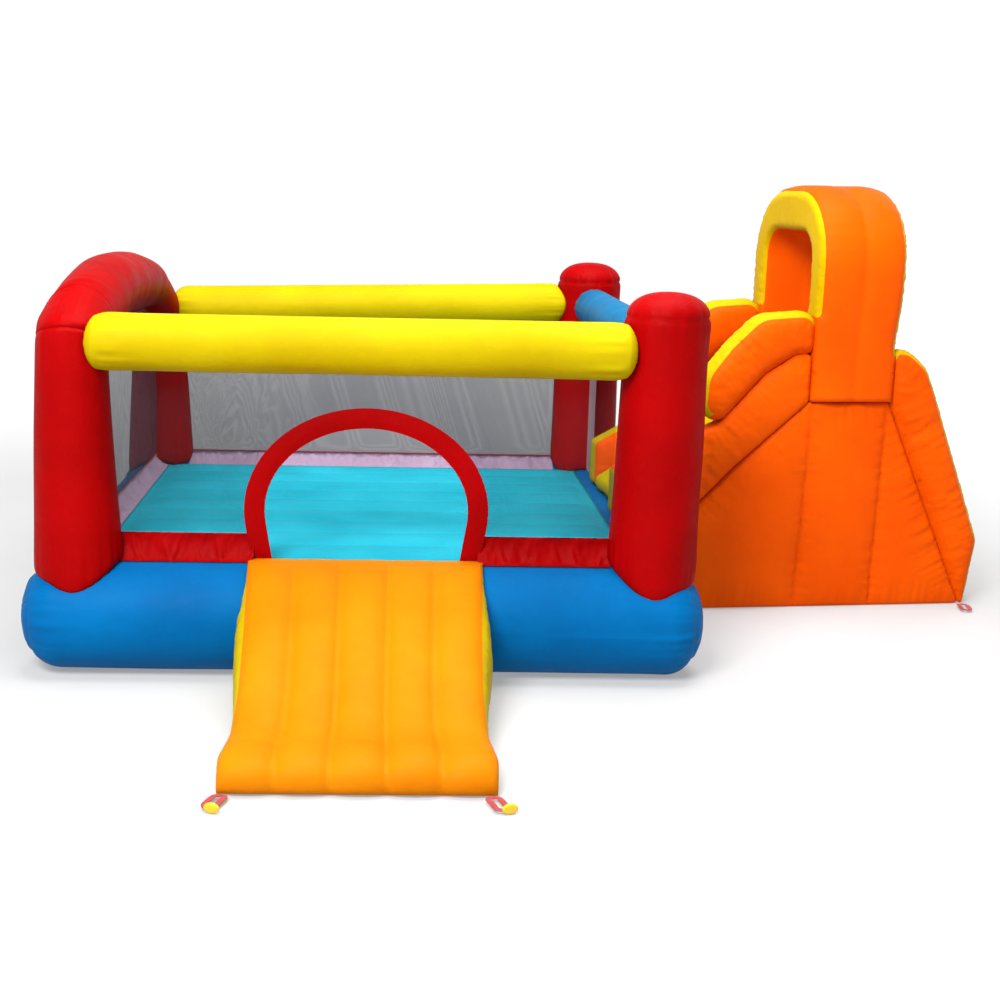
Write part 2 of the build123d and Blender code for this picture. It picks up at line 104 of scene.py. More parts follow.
def lobes(t, count):
    """Cross-section of cloth held at count + 1 seams, from 0 at a seam to 1 between."""
    at = np.clip(t, 0, 1) * count
    local = at - np.floor(np.minimum(at, count - 1e-6))
    return np.clip(4 * local * (1 - local), 0, 1) ** 0.6


def unit(vectors):
    vectors = np.asarray(vectors, float)
    return vectors / np.linalg.norm(vectors, axis=-1, keepdims=True)


def run_along(line):
    """How far along a line each of its points is."""
    return np.concatenate([[0], np.cumsum(np.linalg.norm(np.diff(line, axis=0), axis=1))])


def anticlockwise(outline):
    turn = outline[:, 0] @ np.roll(outline[:, 1], -1) - outline[:, 1] @ np.roll(outline[:, 0], -1)
    return outline[::-1] if turn < 0 else outline


# ================================================================ mesh helpers
def quads(rows, columns, start=0, ring=True, closed=False):
    """Faces between rows of points. ring joins the ends of each row, closed the last row to the first."""
    faces = []
    for j in range(rows if closed else rows - 1):
        a, b = start + j * columns, start + (j + 1) % rows * columns
        for i in range(columns if ring else columns - 1):
            k = (i + 1) % columns
            faces.append((a + i, a + k, b + k, b + i))
    return faces


def new_mesh(name, points, faces, materials=(), face_material=None, smooth_shade=True):
    mesh = bpy.data.meshes.new(name)
    mesh.from_pydata([tuple(p) for p in points], [], faces)
    mesh.validate()
    for material in materials:
        mesh.materials.append(material)
    if face_material is not None:
        mesh.polygons.foreach_set("material_index", np.asarray(face_material, np.int32))
    mesh.polygons.foreach_set("use_smooth", np.full(len(mesh.polygons), smooth_shade))
    mesh.update()
    obj = bpy.data.objects.new(name, mesh)
    bpy.context.scene.collection.objects.link(obj)
    return obj


def place(obj, slot, *nodes, body=HOUSE):
    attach(obj, body)
    if nodes:
        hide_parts(*nodes)
    return obj


def rounded(points, radius):
    """The outline with each corner cut by an arc. radius is one number or one for each corner."""
    points = np.array(points, float)
    count = len(points)
    radii = [radius] * count if np.isscalar(radius) else radius
    out = []
    for i in range(count):
        before, at, after = points[i - 1], points[i], points[(i + 1) % count]
        a, b = before - at, after - at
        la, lb = np.linalg.norm(a), np.linalg.norm(b)
        a, b = a / la, b / lb
        half = math.acos(np.clip(a @ b, -1, 1)) / 2
        reach = min(radii[i] / max(math.tan(half), 1e-3), 0.45 * la, 0.45 * lb)
        if reach < 1e-4 or half > 1.5:
            out.append(at)
            continue
        p, q = at + a * reach, at + b * reach
        for t in np.linspace(0, 1, 7):
            out.append((1 - t) ** 2 * p + 2 * t * (1 - t) * at + t * t * q)
    return np.array(out)


def resampled(points, step, closed=True):
    ring = np.vstack([points, points[:1]]) if closed else np.asarray(points)
    along = run_along(ring)
    count = max(8, int(round(along[-1] / step)))
    at = np.linspace(0, along[-1], count + 1)[:-1 if closed else None]
    return np.stack([np.interp(at, along, ring[:, k]) for k in range(ring.shape[1])], axis=1)


def inside(points, outline):
    x, y = points[:, 0][:, None], points[:, 1][:, None]
    a, b = outline, np.roll(outline, -1, axis=0)
    crosses = (a[:, 1] > y) != (b[:, 1] > y)
    with np.errstate(divide="ignore", invalid="ignore"):
        at = (b[:, 0] - a[:, 0]) * (y - a[:, 1]) / (b[:, 1] - a[:, 1]) + a[:, 0]
    return (crosses & (x < at)).sum(axis=1) % 2 == 1


def nearest_on(points, line, closed=True):
    """Distance of each point to a polyline, and how far along the polyline the nearest place is."""
    a = line
    b = np.roll(line, -1, axis=0) if closed else line[1:]
    if not closed:
        a = line[:-1]
    run = b - a
    length = np.linalg.norm(run, axis=1)
    start = np.concatenate([[0], np.cumsum(length)[:-1]])
    best, where = np.full(len(points), 1e9), np.zeros(len(points))
    for i in range(0, len(points), 2000):
        p = points[i:i + 2000, None, :]
        t = np.clip(((p - a) * run).sum(2) / np.maximum(length ** 2, 1e-12), 0, 1)
        d = np.linalg.norm(p - (a + t[..., None] * run), axis=2)
        k = d.argmin(1)
        rows = np.arange(len(k))
        best[i:i + 2000] = d[rows, k]
        where[i:i + 2000] = start[k] + t[rows, k] * length[k]
    return best, where


def pattern(outline, seams, step):
    """Triangles over a flat panel, with points on its outline and on the seams inside it."""
    low, high = outline.min(0), outline.max(0)
    xs = np.arange(low[0], high[0], step)
    ys = np.arange(low[1], high[1], step * 0.866)
    grid = np.array([(x + (j % 2) * step / 2, y) for j, y in enumerate(ys) for x in xs])
    grid = grid[inside(grid, outline)]
    grid = grid[nearest_on(grid, outline)[0] > 0.6 * step]
    lines = []
    for seam in seams:
        line = resampled(np.array(seam, float), step, closed=False)
        line = line[inside(line, outline)]
        line = line[nearest_on(line, outline)[0] > 0.5 * step]
        if len(line) > 1:
            grid = grid[nearest_on(grid, line, closed=False)[0] > 0.6 * step]
            lines.append(line)
    points = np.vstack([outline, *lines, grid])
    count = len(outline)
    edges, start = [], count
    for line in lines:
        edges += [(start + i, start + i + 1) for i in range(len(line) - 1)]
        start += len(line)
    made = delaunay_2d_cdt([Vector(p) for p in points], edges, [list(range(count))], 1, 1e-7, True)
    flat = np.array([tuple(p) for p in made[0]])
    old_of = np.array([o[0] if o else -1 for o in made[3]])
    new_of = {o: i for i, o in enumerate(old_of)}
    border = np.array([new_of[i] for i in range(count)])
    on_seam = np.array([i for i, o in enumerate(old_of) if count <= o < start], int)
    triangles = np.array([tuple(f) for f in made[2]])
    triangles = triangles[inside(flat[triangles].mean(axis=1), outline)]
    return flat, triangles, border, on_seam


def membrane(flat, triangles, fixed):
    """Solves for the height of a film under even pressure, held at the fixed points."""
    count = len(flat)
    corner = [flat[triangles[:, k]] for k in range(3)]
    edge1, edge2 = corner[1] - corner[0], corner[2] - corner[0]
    area = 0.5 * np.abs(edge1[:, 0] * edge2[:, 1] - edge1[:, 1] * edge2[:, 0])
    area = np.maximum(area, 1e-9)
    rows, cols, weights = [], [], []
    for k in range(3):
        i, j = triangles[:, (k + 1) % 3], triangles[:, (k + 2) % 3]
        a, b = flat[i] - flat[triangles[:, k]], flat[j] - flat[triangles[:, k]]
        weight = (a * b).sum(1) / (4 * area)
        rows += [i, j]
        cols += [j, i]
        weights += [weight, weight]
    rows, cols, weights = np.concatenate(rows), np.concatenate(cols), np.concatenate(weights)
    diagonal = np.bincount(rows, weights, count)
    load = np.bincount(triangles.ravel(), np.repeat(area / 3, 3), count)
    free = np.ones(count)
    free[fixed] = 0
    load *= free
    diagonal = np.where(diagonal > 1e-9, diagonal, 1)
    height = np.zeros(count)
    rest = load.copy()
    step = rest / diagonal
    push = step.copy()
    energy = rest @ step
    for _ in range(600):
        pull = (diagonal * push - np.bincount(rows, weights * push[cols], count)) * free
        alpha = energy / max(push @ pull, 1e-30)
        height += alpha * push
        rest -= alpha * pull
        step = rest / diagonal
        fresh = rest @ step
        if fresh < 1e-14:
            break
        push = step + fresh / energy * push
        energy = fresh
    return np.maximum(height, 0)


# ================================================================ air chambers
class Slab:
    """A chamber cut from two flat panels joined by a band along their outline.

    to_world takes panel coordinates a, b and depth c to the frame. The panels sit at c0 and c1 and
    bulge away from each other; the band bulges outwards. Faces of kind 1 are the band's. other, if
    given, says for each point of the outline whether the band there has the panels' colour.
    """

    def __init__(self, outline, c0, c1, to_world, corner=0.03, seams=(), seam_depth=0.5,
                 bulge=(0.03, 0.03), band=0.12, band_lobes=1, gather=0.004, gather_reach=0.035,
                 gather_pitch=0.022, seed=1, band_rule=None, band_mix=1.0, other=None):
        outline = anticlockwise(resampled(rounded(outline, corner), STEP))
        self.to_world = to_world
        flat, triangles, border, on_seam = pattern(outline, seams, STEP)
        height = np.sqrt(2 * membrane(flat, triangles, border))
        if len(on_seam):
            held = np.sqrt(2 * membrane(flat, triangles, np.concatenate([border, on_seam])))
            height = (1 - seam_depth) * height + seam_depth * held
        height = height / height.max()
        distance, along = nearest_on(flat, outline)
        count = len(flat)
        points = []
        for side, (c, out, share) in enumerate(((c0, -1, bulge[0]), (c1, 1, bulge[1]))):
            fold = patchy(along, gather_pitch, seed + 10 * side, 0.45, along, 0.21, seed + 5 + side)
            rise = height * share + gather * hump(distance, gather_reach) * fold
            if len(on_seam):
                for i, seam in enumerate(seams):
                    gap, run = nearest_on(flat, np.array(seam, float), closed=False)
                    pucker = creases(run, gather_pitch * 1.2, seed + 40 + i)
                    rise = rise + (0.9 * gather * pucker * np.exp(-gap / (gather_reach * 0.8))
                                   * (1 - np.exp(-gap / 0.006)))
            uneven = swell(np.column_stack([flat, np.zeros(count)]), 0.35, seed + 7 + side)
            rise = rise + 0.003 * uneven * smooth(distance / 0.08)
            points.append(np.column_stack([flat, c + out * rise]))
        faces = [tuple(f[::-1]) for f in triangles] + [tuple(f + count) for f in triangles]
        kinds = [0] * (2 * len(triangles))

        ring = flat[border]
        tangent = unit(np.roll(ring, -1, axis=0) - np.roll(ring, 1, axis=0))
        normal = np.column_stack([tangent[:, 1], -tangent[:, 0]])
        rule = np.ones(len(ring)) if band_rule is None else band_rule(ring, normal)
        run, size, thickness = run_along(ring), len(ring), c1 - c0
        rows = max(3, int(round(thickness / STEP)))
        start, index = 2 * count, [border]
        for j in range(1, rows):
            t = j / rows
            to_edge = min(t, 1 - t) * thickness
            rise = band * ((1 - band_mix) * lobes(t, 1) + band_mix * lobes(t, band_lobes))
            side = 0 if t < 0.5 else 1
            fold = patchy(run, gather_pitch, seed + 70 + side, 0.4, run, 0.19, seed + 75 + side)
            offset = (rise + fold * gather * 0.4 * hump(to_edge, gather_reach * 0.8)) * rule
            points.append(np.column_stack([ring + normal * offset[:, None],
                                           np.full(size, c0 + t * thickness)]))
            index.append(np.arange(start, start + size))
            start += size
        index.append(border + count)
        for lower, upper in zip(index, index[1:]):
            for i in range(size):
                k = (i + 1) % size
                faces.append((int(lower[i]), int(lower[k]), int(upper[k]), int(upper[i])))
            kinds += [1] * size if other is None else [1 - int(k) for k in other(ring, normal)]
        self.local, self.faces, self.kinds = np.vstack(points), faces, kinds

    def build(self, name, face_material, band_material, reshape=None):
        local = self.local if reshape is None else reshape(self.local)
        world = self.to_world(local)
        world[:, 2] = np.maximum(world[:, 2], GROUND)
        return new_mesh(name, world, self.faces, [face_material, band_material], self.kinds)


def tube_grid(line, radii, around, wobble, up=(0, 0, 1)):
    """Rings of points round a line, with their radius changed by wobble(distance along, angle, radius)."""
    run = run_along(line)
    tangent = unit(np.gradient(line, axis=0))
    side = unit(np.cross(tangent, np.array(up, float)))
    top = np.cross(side, tangent)
    angle = np.linspace(0, math.tau, around, endpoint=False)
    rings = []
    for i in range(len(line)):
        r = radii[i] + wobble(run[i], angle, radii[i])
        rings.append(line[i] + np.outer(r * np.cos(angle), side[i]) + np.outer(r * np.sin(angle), top[i]))
    return np.array(rings)


def tube_mesh(name, rings, material):
    """Closed skin over rings of points, with a fan of faces at each end."""
    count, around, _ = rings.shape
    faces = quads(count, around)
    points = np.vstack([rings.reshape(-1, 3), rings[0].mean(0), rings[-1].mean(0)])
    first, last, end = count * around, count * around + 1, (count - 1) * around
    for j in range(around):
        k = (j + 1) % around
        faces.append((first, k, j))
        faces.append((last, end + j, end + k))
    points[:, 2] = np.maximum(points[:, 2], GROUND)
    return new_mesh(name, points, faces, [material])


def dome_profile(length, radius, nose, step):
    """Stations along a tube and its radius there, with elliptical ends."""
    turn = np.linspace(0, math.pi / 2, 22)[:-1]
    ends = nose * (1 - np.cos(turn))
    end_radii = np.maximum(radius * np.sin(turn) ** 0.9, 0.002)
    body = np.linspace(nose, length - nose, max(3, int(round((length - 2 * nose) / step))) + 1)
    return (np.concatenate([ends, body, length - ends[::-1]]),
            np.concatenate([end_radii, np.full(len(body), radius), end_radii[::-1]]))


# ================================================================ materials
def colour(r, g, b):
    def linear(c):
        c /= 255
        return c / 12.92 if c <= 0.04045 else ((c + 0.055) / 1.055) ** 2.4
    return (linear(r), linear(g), linear(b), 1)


class Nodes:
    def __init__(self, name):
        self.material = bpy.data.materials.new(name)
        self.material.use_nodes = True
        self.tree = self.material.node_tree
        self.shader = self.tree.nodes["Principled BSDF"]
        self.place = self.add("ShaderNodeTexCoord").outputs["Object"]

    def add(self, kind, **values):
        node = self.tree.nodes.new(kind)
        for key, value in values.items():
            setattr(node, key, value)
        return node

    def join(self, output, target):
        self.tree.links.new(output, target)

    def noise(self, scale, detail=3.0, roughness=0.5, distortion=0.0, stretch=None):
        node = self.add("ShaderNodeTexNoise")
        node.inputs["Scale"].default_value = scale
        node.inputs["Detail"].default_value = detail
        node.inputs["Roughness"].default_value = roughness
        node.inputs["Distortion"].default_value = distortion
        source = self.place
        if stretch:
            mapping = self.add("ShaderNodeMapping")
            mapping.inputs["Scale"].default_value = stretch
            self.join(source, mapping.inputs["Vector"])
            source = mapping.outputs["Vector"]
        self.join(source, node.inputs["Vector"])
        return node.outputs["Fac"]

    def wave(self, scale, direction, distortion=0.4):
        node = self.add("ShaderNodeTexWave", wave_type="BANDS", bands_direction=direction)
        node.inputs["Scale"].default_value = scale
        node.inputs["Distortion"].default_value = distortion
        node.inputs["Detail"].default_value = 1
        self.join(self.place, node.inputs["Vector"])
        return node.outputs["Fac"]

    def math(self, operation, a, b=None):
        node = self.add("ShaderNodeMath", operation=operation)
        for index, value in enumerate((a, b)):
            if value is None:
                continue
            if isinstance(value, (int, float)):
                node.inputs[index].default_value = value
            else:
                self.join(value, node.inputs[index])
        return node.outputs[0]

    def spread(self, value, low, high, to_low=0.0, to_high=1.0):
        node = self.add("ShaderNodeMapRange")
        for key, number in (("From Min", low), ("From Max", high), ("To Min", to_low), ("To Max", to_high)):
            node.inputs[key].default_value = number
        self.join(value, node.inputs["Value"])
        return node.outputs[0]

    def mix(self, factor, a, b):
        node = self.add("ShaderNodeMix", data_type="RGBA")
        self.join(factor, node.inputs[0])
        for index, value in ((6, a), (7, b)):
            if isinstance(value, tuple):
                node.inputs[index].default_value = value
            else:
                self.join(value, node.inputs[index])
        return node.outputs[2]

    def bump(self, height, distance, strength=1.0, after=None):
        node = self.add("ShaderNodeBump")
        node.inputs["Strength"].default_value = strength
        node.inputs["Distance"].default_value = distance
        self.join(height, node.inputs["Height"])
        if after is not None:
            self.join(after, node.inputs["Normal"])
        return node.outputs[0]

    def finish(self, base, roughness, normal=None, **values):
        self.join(base, self.shader.inputs["Base Color"])
        if isinstance(roughness, (int, float)):
            self.shader.inputs["Roughness"].default_value = roughness
        else:
            self.join(roughness, self.shader.inputs["Roughness"])
        if normal is not None:
            self.join(normal, self.shader.inputs["Normal"])
        for key, value in values.items():
            self.shader.inputs[key.replace("_", " ")].default_value = value
        return self.material


def tint(rgba, factor):
    return (*(min(1.0, c * factor) for c in rgba[:3]), 1)


DYE = 0.70              # keeps colours full under strong light


def coated_cloth(name, base, light, crinkle=0.0022):
    """Coated woven nylon: fine weave, small crinkles from folding, uneven dye and gloss."""
    n = Nodes(name)
    light, base = tint(light, DYE), tint(base, DYE)
    broad = n.noise(2.2, 4, 0.55)
    shade = n.mix(n.spread(broad, 0.35, 0.68), tint(base, 0.93), light)
    rub = n.noise(34, 5, 0.65)
    shade = n.mix(n.spread(rub, 0.56, 0.8, 0, 0.22), shade, tint(light, 1.18))
    threads = n.math("MULTIPLY", n.wave(260, "X"), n.math("MULTIPLY", n.wave(260, "Y"), n.wave(260, "Z")))
    shade = n.mix(n.spread(threads, 0.1, 0.6, 0, 0.10), shade, tint(base, 0.72))
    small = n.noise(17, 5, 0.6, 0.5)
    tiny = n.noise(70, 3, 0.6)
    height = n.math("ADD", small, n.math("MULTIPLY", tiny, 0.22))
    normal = n.bump(height, crinkle)
    normal = n.bump(threads, 0.00022, 0.6, normal)
    rough = n.spread(n.noise(9, 4, 0.6), 0.3, 0.7, 0.42, 0.58)
    return n.finish(shade, rough, normal, Specular_IOR_Level=0.03)


def mesh_cloth(name, base, cover):
    """Knitted safety mesh, seen as a haze that lets 1 - cover of the light through."""
    n = Nodes(name)
    shade = n.mix(n.spread(n.noise(3, 3), 0.3, 0.7), tint(base, 0.85), tint(base, 1.15))
    knit = n.math("MULTIPLY", n.wave(420, "X", 0.2), n.wave(420, "Z", 0.2))
    knit = n.math("MULTIPLY", knit, n.wave(420, "Y", 0.2))
    drift = n.noise(1.6, 3)
    cover_out = n.math("ADD", n.spread(knit, 0.0, 0.5, cover - 0.05, cover + 0.06),
                       n.spread(drift, 0.3, 0.7, -0.02, 0.02))
    n.join(cover_out, n.shader.inputs["Alpha"])
    return n.finish(shade, 0.7, n.bump(knit, 0.0004), Specular_IOR_Level=0.2)


def webbing(name, base):
    n = Nodes(name)
    ribs = n.noise(420, 2, 0.5, 0, (1, 1, 0.2))
    shade = n.mix(n.spread(ribs, 0.35, 0.65), tint(base, 0.72), tint(base, 1.15))
    shade = n.mix(n.spread(n.noise(22, 4), 0.4, 0.75, 0, 0.3), shade, tint(base, 0.6))
    normal = n.bump(n.math("ADD", ribs, n.math("MULTIPLY", n.noise(150, 3), 0.4)), 0.0012)
    return n.finish(shade, n.spread(ribs, 0.3, 0.7, 0.5, 0.7), normal, Sheen_Weight=0.2)


def plastic(name, base, grain=0.0002, rough=(0.3, 0.42), worn=1.35, metallic=0.0):
    n = Nodes(name)
    pits = n.noise(900, 2, 0.5)
    scuff = n.noise(60, 6, 0.75, 1.2)
    shade = n.mix(n.spread(n.noise(6, 3), 0.3, 0.7), tint(base, 0.92), tint(base, 1.08))
    shade = n.mix(n.spread(scuff, 0.62, 0.8, 0, 0.35), shade, tint(base, worn))
    normal = n.bump(n.math("ADD", pits, n.math("MULTIPLY", scuff, 0.5)), grain)
    return n.finish(shade, n.spread(scuff, 0.3, 0.75, *rough), normal, Metallic=metallic)


RED_CLOTH = coated_cloth("red_cloth", colour(156, 0, 1), colour(170, 0, 2))
RED_FLAT = coated_cloth("red_flat_cloth", colour(152, 0, 1), colour(168, 0, 3), crinkle=0.0015)
BLUE_CLOTH = coated_cloth("blue_cloth", colour(0, 96, 160), colour(0, 108, 174))
SKY_CLOTH = coated_cloth("sky_cloth", colour(2, 104, 148), colour(6, 112, 160))
YELLOW_CLOTH = coated_cloth("yellow_cloth", colour(196, 170, 1), colour(204, 182, 6))
GOLD_CLOTH = coated_cloth("gold_cloth", colour(214, 170, 2), colour(220, 180, 4))
ORANGE_CLOTH = coated_cloth("orange_cloth", colour(250, 86, 0), colour(254, 96, 0))
RAMP_CLOTH = coated_cloth("ramp_cloth", colour(222, 124, 2), colour(228, 132, 6))
FLOOR_CLOTH = coated_cloth("floor_cloth", colour(26, 156, 178), colour(38, 168, 190))
HEM_CLOTH = coated_cloth("hem_cloth", colour(160, 134, 160), colour(174, 150, 174), crinkle=0.003)
PALE_CLOTH = coated_cloth("pale_cloth", colour(184, 150, 158), colour(205, 172, 180))
PIPING = webbing("piping_red", colour(122, 4, 8))
NET = mesh_cloth("net_grey", colour(48, 48, 60), cover=0.75)
NET_FRONT = mesh_cloth("net_grey_front", colour(4, 18, 24), cover=0.33)
WEB_RED = webbing("webbing_red", colour(150, 6, 8))
PEG_YELLOW = plastic("peg_yellow", colour(214, 170, 6))
DUCT_CLOTH = coated_cloth("duct_cloth", colour(2, 104, 182), tint(colour(2, 104, 182), 1.12), crinkle=0.003)
ZIP_CLOTH = webbing("zip_black", colour(26, 26, 28))
ZIP_METAL = plastic("zip_metal", colour(176, 178, 182), 0.0001, (0.22, 0.4), 1.2, 1.0)
SHELL = plastic("blower_shell", colour(24, 84, 150))
DARK = plastic("blower_dark", colour(34, 35, 38))
MOTOR = plastic("motor_metal", colour(120, 122, 126), 0.0003, (0.35, 0.55), 1.3, 0.8)
STEEL = plastic("screw_steel", colour(178, 180, 184), 0.0001, (0.25, 0.4), 1.2, 1.0)
RUBBER = plastic("rubber_feet", colour(28, 28, 28), 0.0005, (0.7, 0.85), 1.6)

KEPT = {"zip_tape": ZIP_CLOTH, "zip_slider": ZIP_METAL, "zip_pull": ZIP_METAL,
        "blower_case_intake": SHELL, "blower_case_motor": SHELL, "blower_grille": DARK,
        "blower_impeller": DARK, "blower_motor": MOTOR, "blower_feet": RUBBER, "blower_handle": DARK,
        "blower_screws": STEEL, "blower_switch_box": DARK, "blower_rocker": PEG_YELLOW,
        "blower_cord_inlet": RUBBER}


# ================================================================ where the frame says things are
def middle(node):
    low, high = box(node)
    return (low + high) / 2


FRONT_LOW, FRONT_HIGH = box("base_tube_front")
TUBE_R = (FRONT_HIGH[2] - FRONT_LOW[2]) / 2
FRONT_Y, BACK_Y = middle("base_tube_front")[1], middle("base_tube_back")[1]
LEFT_X, RIGHT_X = middle("base_tube_left")[0], middle("base_tube_right")[0]
TUBE_HALF = FRONT_HIGH[0]
TUBE_NOSE = 0.160           # length of the base tubes' domed ends
END_IN = 0.015              # the domed ends stop this far inside the tube's box
SHELL_GAP = 0.003           # clearance between one chamber's cloth and the next

POST_X, POST_Y = 1.135, 1.1
POST_FOOT_R, POST_TOP_R, POST_ARCH_R = 0.174, 0.164, 0.133
POST_TOP = box("pillar_front_right")[1][2]
POST_FOOT_Z = 0.300
FLOOR_TOP = box("bounce_floor")[1][2]
FLOOR_EDGE_Z = 0.4125

# Where the arch grows out of the two left pillars: the middle of each joint and the way it faces.
ARCH_FEET = (((-1.135, -1.100, 1.300), (0.0, 0.40, 0.917)), ((-1.135, 1.090, 1.170), (0.0, -0.05, 0.95)))
RAIL_R, RAIL_Z = 0.110, 1.297
FRONT_RAIL_Y = middle("rail_front")[1]
BACK_RAIL_Y = middle("rail_back")[1]
SIDE_RAIL_R = 0.098
RAIL_BALL = 0.075           # length of the front rail's rounded ends

# The tower is drawn as u, its length away from the bounce floor, v, its width, and z.
TOWER_CORNER = np.array([1.135, -0.270])
TOWER_TURN = math.radians(6.5)
TOWER_W, TOWER_SIDE = 0.900, 0.178


def tube_crest(x, y):
    """Top of whatever base tube or floor lies under a point."""
    past = np.clip((np.abs(x) - (TUBE_HALF - END_IN - TUBE_NOSE)) / TUBE_NOSE, 0, 0.98)
    ends = TUBE_R * np.sqrt(1 - past ** 2)
    between = np.abs(y) < abs(FRONT_Y)
    heights = [np.full(np.shape(x), 0.0)]
    for offset, reach, there in ((y - FRONT_Y, ends, True), (y - BACK_Y, ends, True),
                                 (x - LEFT_X, TUBE_R, between), (x - RIGHT_X, TUBE_R, between)):
        inner = np.maximum(reach ** 2 - offset ** 2, 0)
        heights.append(np.where((np.abs(offset) < reach) & there, TUBE_R + np.sqrt(inner), 0))
    on_floor = (np.abs(x) < abs(LEFT_X) - 0.11) & (np.abs(y) < abs(FRONT_Y) - 0.11)
    heights.append(np.where(on_floor, FLOOR_EDGE_Z + 0.002, 0))
    return np.max(heights, axis=0)


# ================================================================ round chambers
def spool(name, material, radius, low_end, high_end, to_world, wobble, step=0.014, around=96,
          pinch=(0.010, 0.010), pinch_reach=0.02):
    """Tube whose two ends are cut to the shape of whatever they are sewn against.

    low_end(p, q) and high_end(p, q) give where the tube stops at that point of its section, and
    to_world(p, q, t) takes the section and the distance along it to the frame.
    """
    angle = np.linspace(0, math.tau, around, endpoint=False)
    c, s = np.cos(angle), np.sin(angle)
    longest = float(np.max(high_end(c * 0.05, s * 0.05) - low_end(c * 0.05, s * 0.05)))
    rows = max(8, int(abs(longest) / step))
    rings = []
    for j in range(rows + 1):
        u = j / rows
        r = radius(u)
        t0, t1 = low_end(c * r, s * r), high_end(c * r, s * r)
        t = t0 + (t1 - t0) * u
        d0, d1 = np.abs(t - t0), np.abs(t1 - t)
        r = r + (wobble(d0, d1, angle, t) - pinch[0] * np.exp(-d0 / pinch_reach)
                 - pinch[1] * np.exp(-d1 / pinch_reach))
        rings.append(to_world(c * r, s * r, t))
    lows, highs = [], []
    for share in np.sin(np.linspace(math.pi / 2, 0, 12)[1:-1]):
        for caps, u, end, pinched in ((lows, 0.0, low_end, pinch[0]), (highs, 1.0, high_end, pinch[1])):
            r = (radius(u) - pinched) * share
            caps.append(to_world(c * r, s * r, end(c * r, s * r)))
    return tube_mesh(name, np.array(lows[::-1] + rings + highs), material)


def near_ends(amplitude, reach, pitch, seed, around_length=1.0):
    """Folds that run along a tube from the seams at its ends."""
    def wobble(d0, d1, angle, t):
        total = np.zeros(len(angle))
        for d, extra in ((d0, 0), (d1, 31)):
            fold = patchy(angle * around_length, pitch, seed + extra, 0.35, angle, 0.8, seed + 9 + extra)
            total = total + amplitude * fold * hump(d, reach)
        drift = wave_noise(angle + 1.3 * t, 0.9, seed + 60) + wave_noise(2.1 * t - angle, 0.7, seed + 61)
        return total + 0.001 * drift
    return wobble


def base_cross_tube(name, y, seed):
    """Front or back tube: domed ends, gathered where the end discs are sewn on."""
    half, seam = TUBE_HALF - END_IN, 0.050
    stations, radii = dome_profile(2 * half, TUBE_R - 0.001, TUBE_NOSE, 0.014)
    line = np.column_stack([stations - half, np.full(len(stations), y), np.full(len(stations), TUBE_R)])

    def wobble(run, angle, radius):
        total = np.zeros(len(angle))
        for i, at in enumerate((seam, 2 * half - seam)):
            d = abs(run - at)
            fold = patchy(angle * 0.22, 0.030, seed + 2 * i + (run > at), 0.4, angle, 0.7, seed + 20 + i)
            reach = 0.045 if (run - at) * (1 if i == 0 else -1) > 0 else 0.022
            total += 0.0085 * fold * hump(d, reach) - 0.006 * math.exp(-(d / 0.007) ** 2)
        press = np.exp(-((angle - math.pi / 2) / 0.7) ** 2)
        fold = creases(angle * 0.4 + run * 0.3, 0.05, seed + 33)
        for x in (-POST_X, POST_X):
            d = abs(run - half - x)
            total += press * 0.003 * fold * math.exp(-((d - 0.19) / 0.06) ** 2)
        total += 0.0022 * (wave_noise(angle + run * 2.0, 0.9, seed + 50)
                           + wave_noise(run * 3.1 - angle, 1.1, seed + 51)) * 0.7
        return total * min(1.0, radius / 0.12)

    obj = tube_mesh(name, tube_grid(line, radii, 128, wobble), BLUE_CLOTH)
    place(obj, "blue_cloth", name.replace("_cloth", ""))


def base_side_tube(name, x, seed):
    """Left or right tube, its ends cut to the round of the front and back tubes."""
    reach = TUBE_R + SHELL_GAP
    stop = lambda height: np.sqrt(np.maximum(reach ** 2 - height ** 2, 0))
    obj = spool(name, BLUE_CLOTH, lambda u: TUBE_R - 0.001,
                lambda p, q: FRONT_Y + stop(q), lambda p, q: BACK_Y - stop(q),
                lambda p, q, t: np.column_stack([x + p, t, TUBE_R + q]),
                near_ends(0.005, 0.05, 0.035, seed), around=112)
    place(obj, "blue_cloth", name.replace("_cloth", ""))


